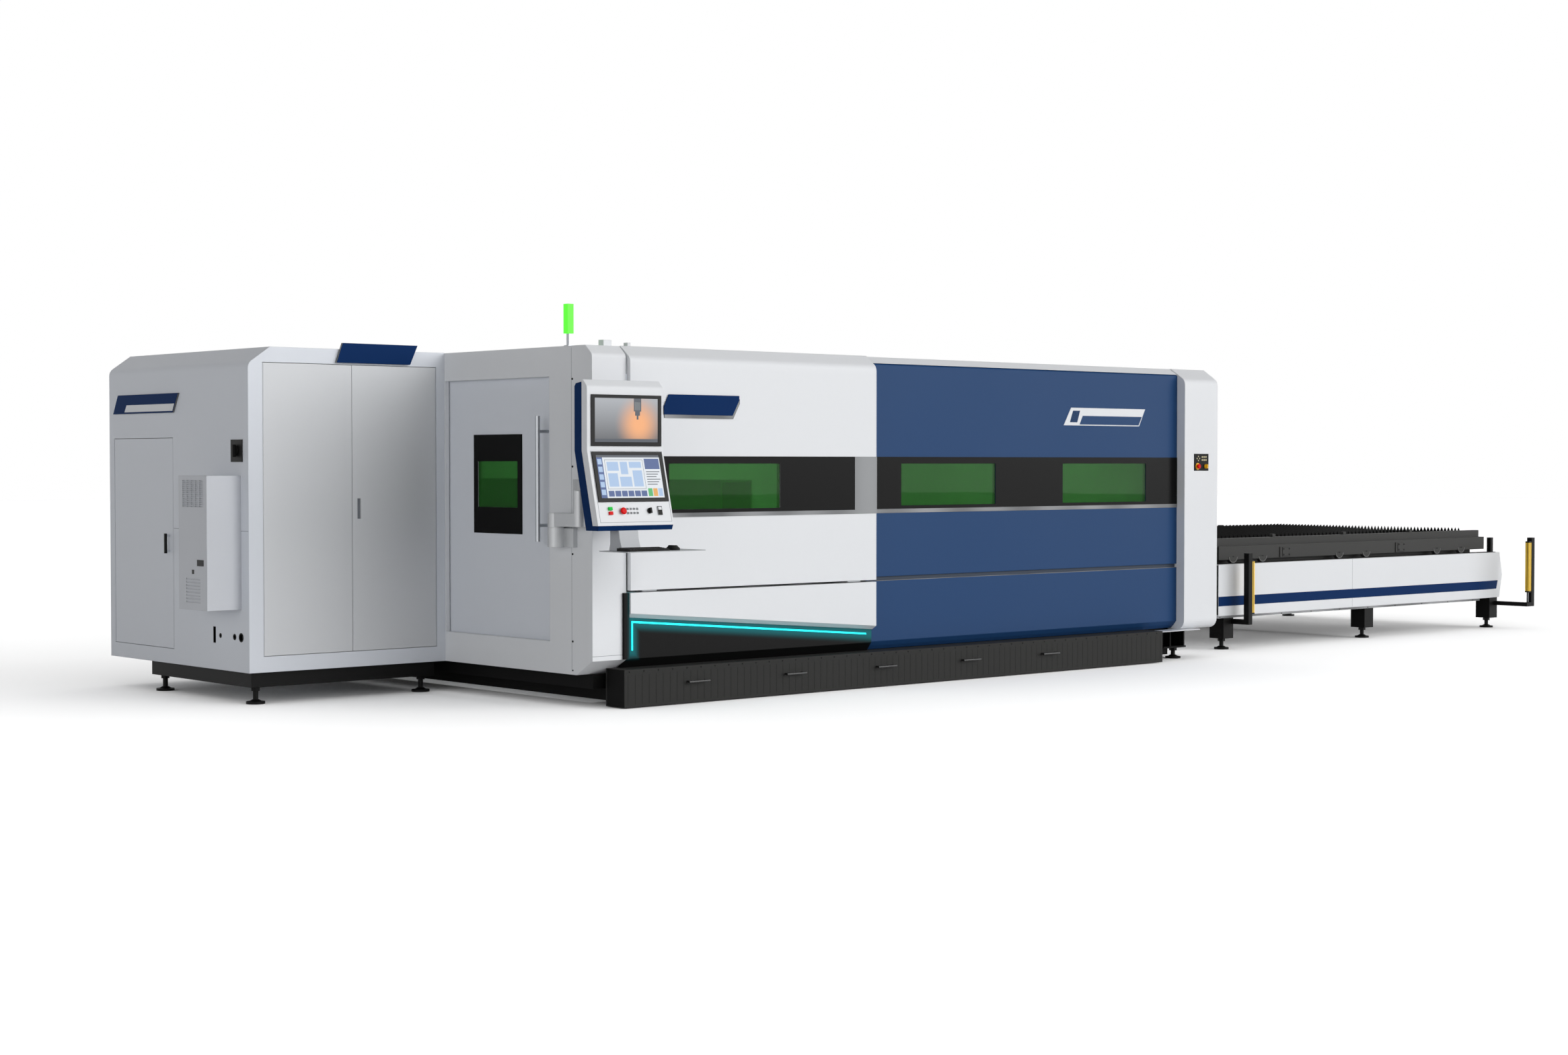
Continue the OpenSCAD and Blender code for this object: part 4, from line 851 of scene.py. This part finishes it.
# table: silver lower rail; light curtains: black caps, edge strips and a cable
table = {"left": 6740, "right": 10655, "face": 347, "low": 268.5, "high": 286.5, "middle": 1595, "thick": 0.7}
curtains = {"left": ((7005, 205, 300), (7041, 245, 750)), "right": ((10995, 38, 344), (11035, 78, 821)),
            "cap": 12, "skin": 0.5, "strip": 3, "cable": 6, "cableLength": 89, "cableMiddle": 299}


def makeTableTrim():
    bm = bmesh.new()
    far = 2 * table["middle"] - table["face"]
    for low, high in ((table["face"] - table["thick"], table["face"]), (far, far + table["thick"])):
        addBlock(bm, spot(table["left"], low, table["low"]), spot(table["right"], high, table["high"]))
    finishMesh("tableLowerRail", bm, ["silverTrim"], "machine")
    bm = bmesh.new()
    cap, skin, strip = curtains["cap"], curtains["skin"], curtains["strip"]
    for (x0, y0, z0), (x1, y1, z1) in (curtains["left"], curtains["right"]):
        for low, high in ((z0 - skin, z0 + cap), (z1 - cap, z1 + skin)):
            addBlock(bm, spot(x0 - skin, y0 - skin, low), spot(x1 + skin, y1 + skin, high), 0)
        x, y = (x0 + x1) / 2, (y0 + y1) / 2
        addBlock(bm, spot(x - strip, y0 - skin, z0 + cap), spot(x + strip, y0, z1 - cap), 0)
        addBlock(bm, spot(x0 - skin, y - strip, z0 + cap), spot(x0, y + strip, z1 - cap), 0)
    low, high = curtains["right"]
    x, y = (low[0] + high[0]) / 2, (low[1] + high[1]) / 2
    addDisc(bm, spot(x, y, curtains["cableMiddle"]), curtains["cable"], curtains["cableLength"], "z", 1, 16)
    finishMesh("curtainTrim", bm, ["blackPlastic", "silverTrim"], "machine")


makeTableTrim()
print("pallet and table dressed")

# camera solved from the edges of the enclosure
view = {"lens": 54.90, "sensor": 36.0, "place": (-9098.5, -12004.75, 1550.0), "pitch": 88.468,
        "yaw": -41.746, "far": 200.0}
lens = bpy.data.cameras.new("photoCamera")
lens.lens, lens.sensor_width, lens.sensor_fit = view["lens"], view["sensor"], "HORIZONTAL"
lens.clip_end = view["far"]
camera = bpy.data.objects.new("photoCamera", lens)
bpy.context.collection.objects.link(camera)
camera.location = spot(*view["place"])
camera.rotation_euler = (math.radians(view["pitch"]), 0.0, math.radians(view["yaw"]))
bpy.context.scene.camera = camera

# soft studio light from the right of the front, a weaker fill from the left, pale floor, white background
studio = {"sky": 0.75, "floor": "#f2f2f2", "lift": 0.77, "shade": 2.4, "size": 160.0}
suns = {"frontKey": {"strength": 2.9, "angle": 60, "way": (-0.46, 0.87, -0.16)},
        "leftFill": {"strength": 0.6, "angle": 40, "way": (0.95, 0.3, -0.08)}}
chamber = {"watts": 42.0, "size": (2.6, 0.3), "place": (3500, 420, 2080), "way": (0.0, 1.0, -0.12)}
white = (1.0, 1.0, 1.0, 1.0)


def makeLight(name, kind, way):
    lamp = bpy.data.lights.new(name, kind)
    holder = bpy.data.objects.new(name, lamp)
    holder.rotation_euler = Vector(way).to_track_quat("-Z", "Y").to_euler()
    bpy.context.collection.objects.link(holder)
    return lamp, holder


for name, sun in suns.items():
    lamp, holder = makeLight(name, "SUN", sun["way"])
    lamp.energy, lamp.angle = sun["strength"], math.radians(sun["angle"])
lamp, holder = makeLight("chamberLight", "AREA", chamber["way"])  # the lit cutting chamber behind the windows
lamp.shape, lamp.energy = "RECTANGLE", chamber["watts"]
lamp.size, lamp.size_y = chamber["size"]
holder.location = spot(*chamber["place"])


def seenRays(tree):
    # rays by which floor and background are seen, straight, mirrored or through a window
    path = addNode(tree, "ShaderNodeLightPath").outputs
    straight = solve(tree, "MAXIMUM", path["Is Camera Ray"], path["Is Glossy Ray"])
    return solve(tree, "MAXIMUM", straight, path["Is Transmission Ray"])


world = bpy.data.worlds.new("studioWorld")
bpy.context.scene.world = world
world.use_nodes = True
sky = world.node_tree
sky.nodes.clear()
way = addNode(sky, "ShaderNodeTexCoord")
height = addNode(sky, "ShaderNodeSeparateXYZ", {}, {"Vector": way.outputs["Generated"]})
low = addNode(sky, "ShaderNodeMapRange", {"From Min": 0.0, "From Max": 1.0, "To Min": 1.0, "To Max": 0.0},
              {"Value": height.outputs["Z"]})  # the light comes from the walls and hardly from above
level = solve(sky, "MULTIPLY", solve(sky, "POWER", low.outputs["Result"], 2.0), studio["sky"])
ambient = addNode(sky, "ShaderNodeBackground", {"Color": white}, {"Strength": level})
backdrop = addNode(sky, "ShaderNodeBackground", {"Color": white, "Strength": 1.0})
choose = addNode(sky, "ShaderNodeMixShader", {},
                 {0: seenRays(sky), 1: ambient.outputs[0], 2: backdrop.outputs[0]})
addNode(sky, "ShaderNodeOutputWorld", {}, {"Surface": choose.outputs[0]})


def makeFloor():
    material, tree = newMaterial("paleStudioFloor")  # matt floor with the real soft shadow; near the machine its white lift is darkened by ambient occlusion, a painted shade
    matt = addNode(tree, "ShaderNodeBsdfDiffuse", {"Color": hexLinear(studio["floor"])})
    clear = addNode(tree, "ShaderNodeAmbientOcclusion", {"samples": 8, "Distance": studio["shade"]})
    # ambient occlusion darkens the white lift under and beside the machine: painted shade
    seen = solve(tree, "MULTIPLY", seenRays(tree), clear.outputs["AO"])
    lift = addNode(tree, "ShaderNodeEmission", {"Color": white},
                   {"Strength": solve(tree, "MULTIPLY", seen, studio["lift"])})
    both = addNode(tree, "ShaderNodeAddShader", {}, {0: matt.outputs[0], 1: lift.outputs[0]})
    addNode(tree, "ShaderNodeOutputMaterial", {}, {"Surface": both.outputs[0]})
    half = studio["size"] / 2
    mesh = bpy.data.meshes.new("studioFloor")
    corners = [(-half, -half, 0), (half, -half, 0), (half, half, 0), (-half, half, 0)]
    mesh.from_pydata(corners, [], [(0, 1, 2, 3)])
    mesh.materials.append(material)
    floor = bpy.data.objects.new("studioFloor", mesh)
    bpy.context.collection.objects.link(floor)


makeFloor()
bpy.context.scene.view_settings.view_transform = "Standard"
print("camera, light and floor set")
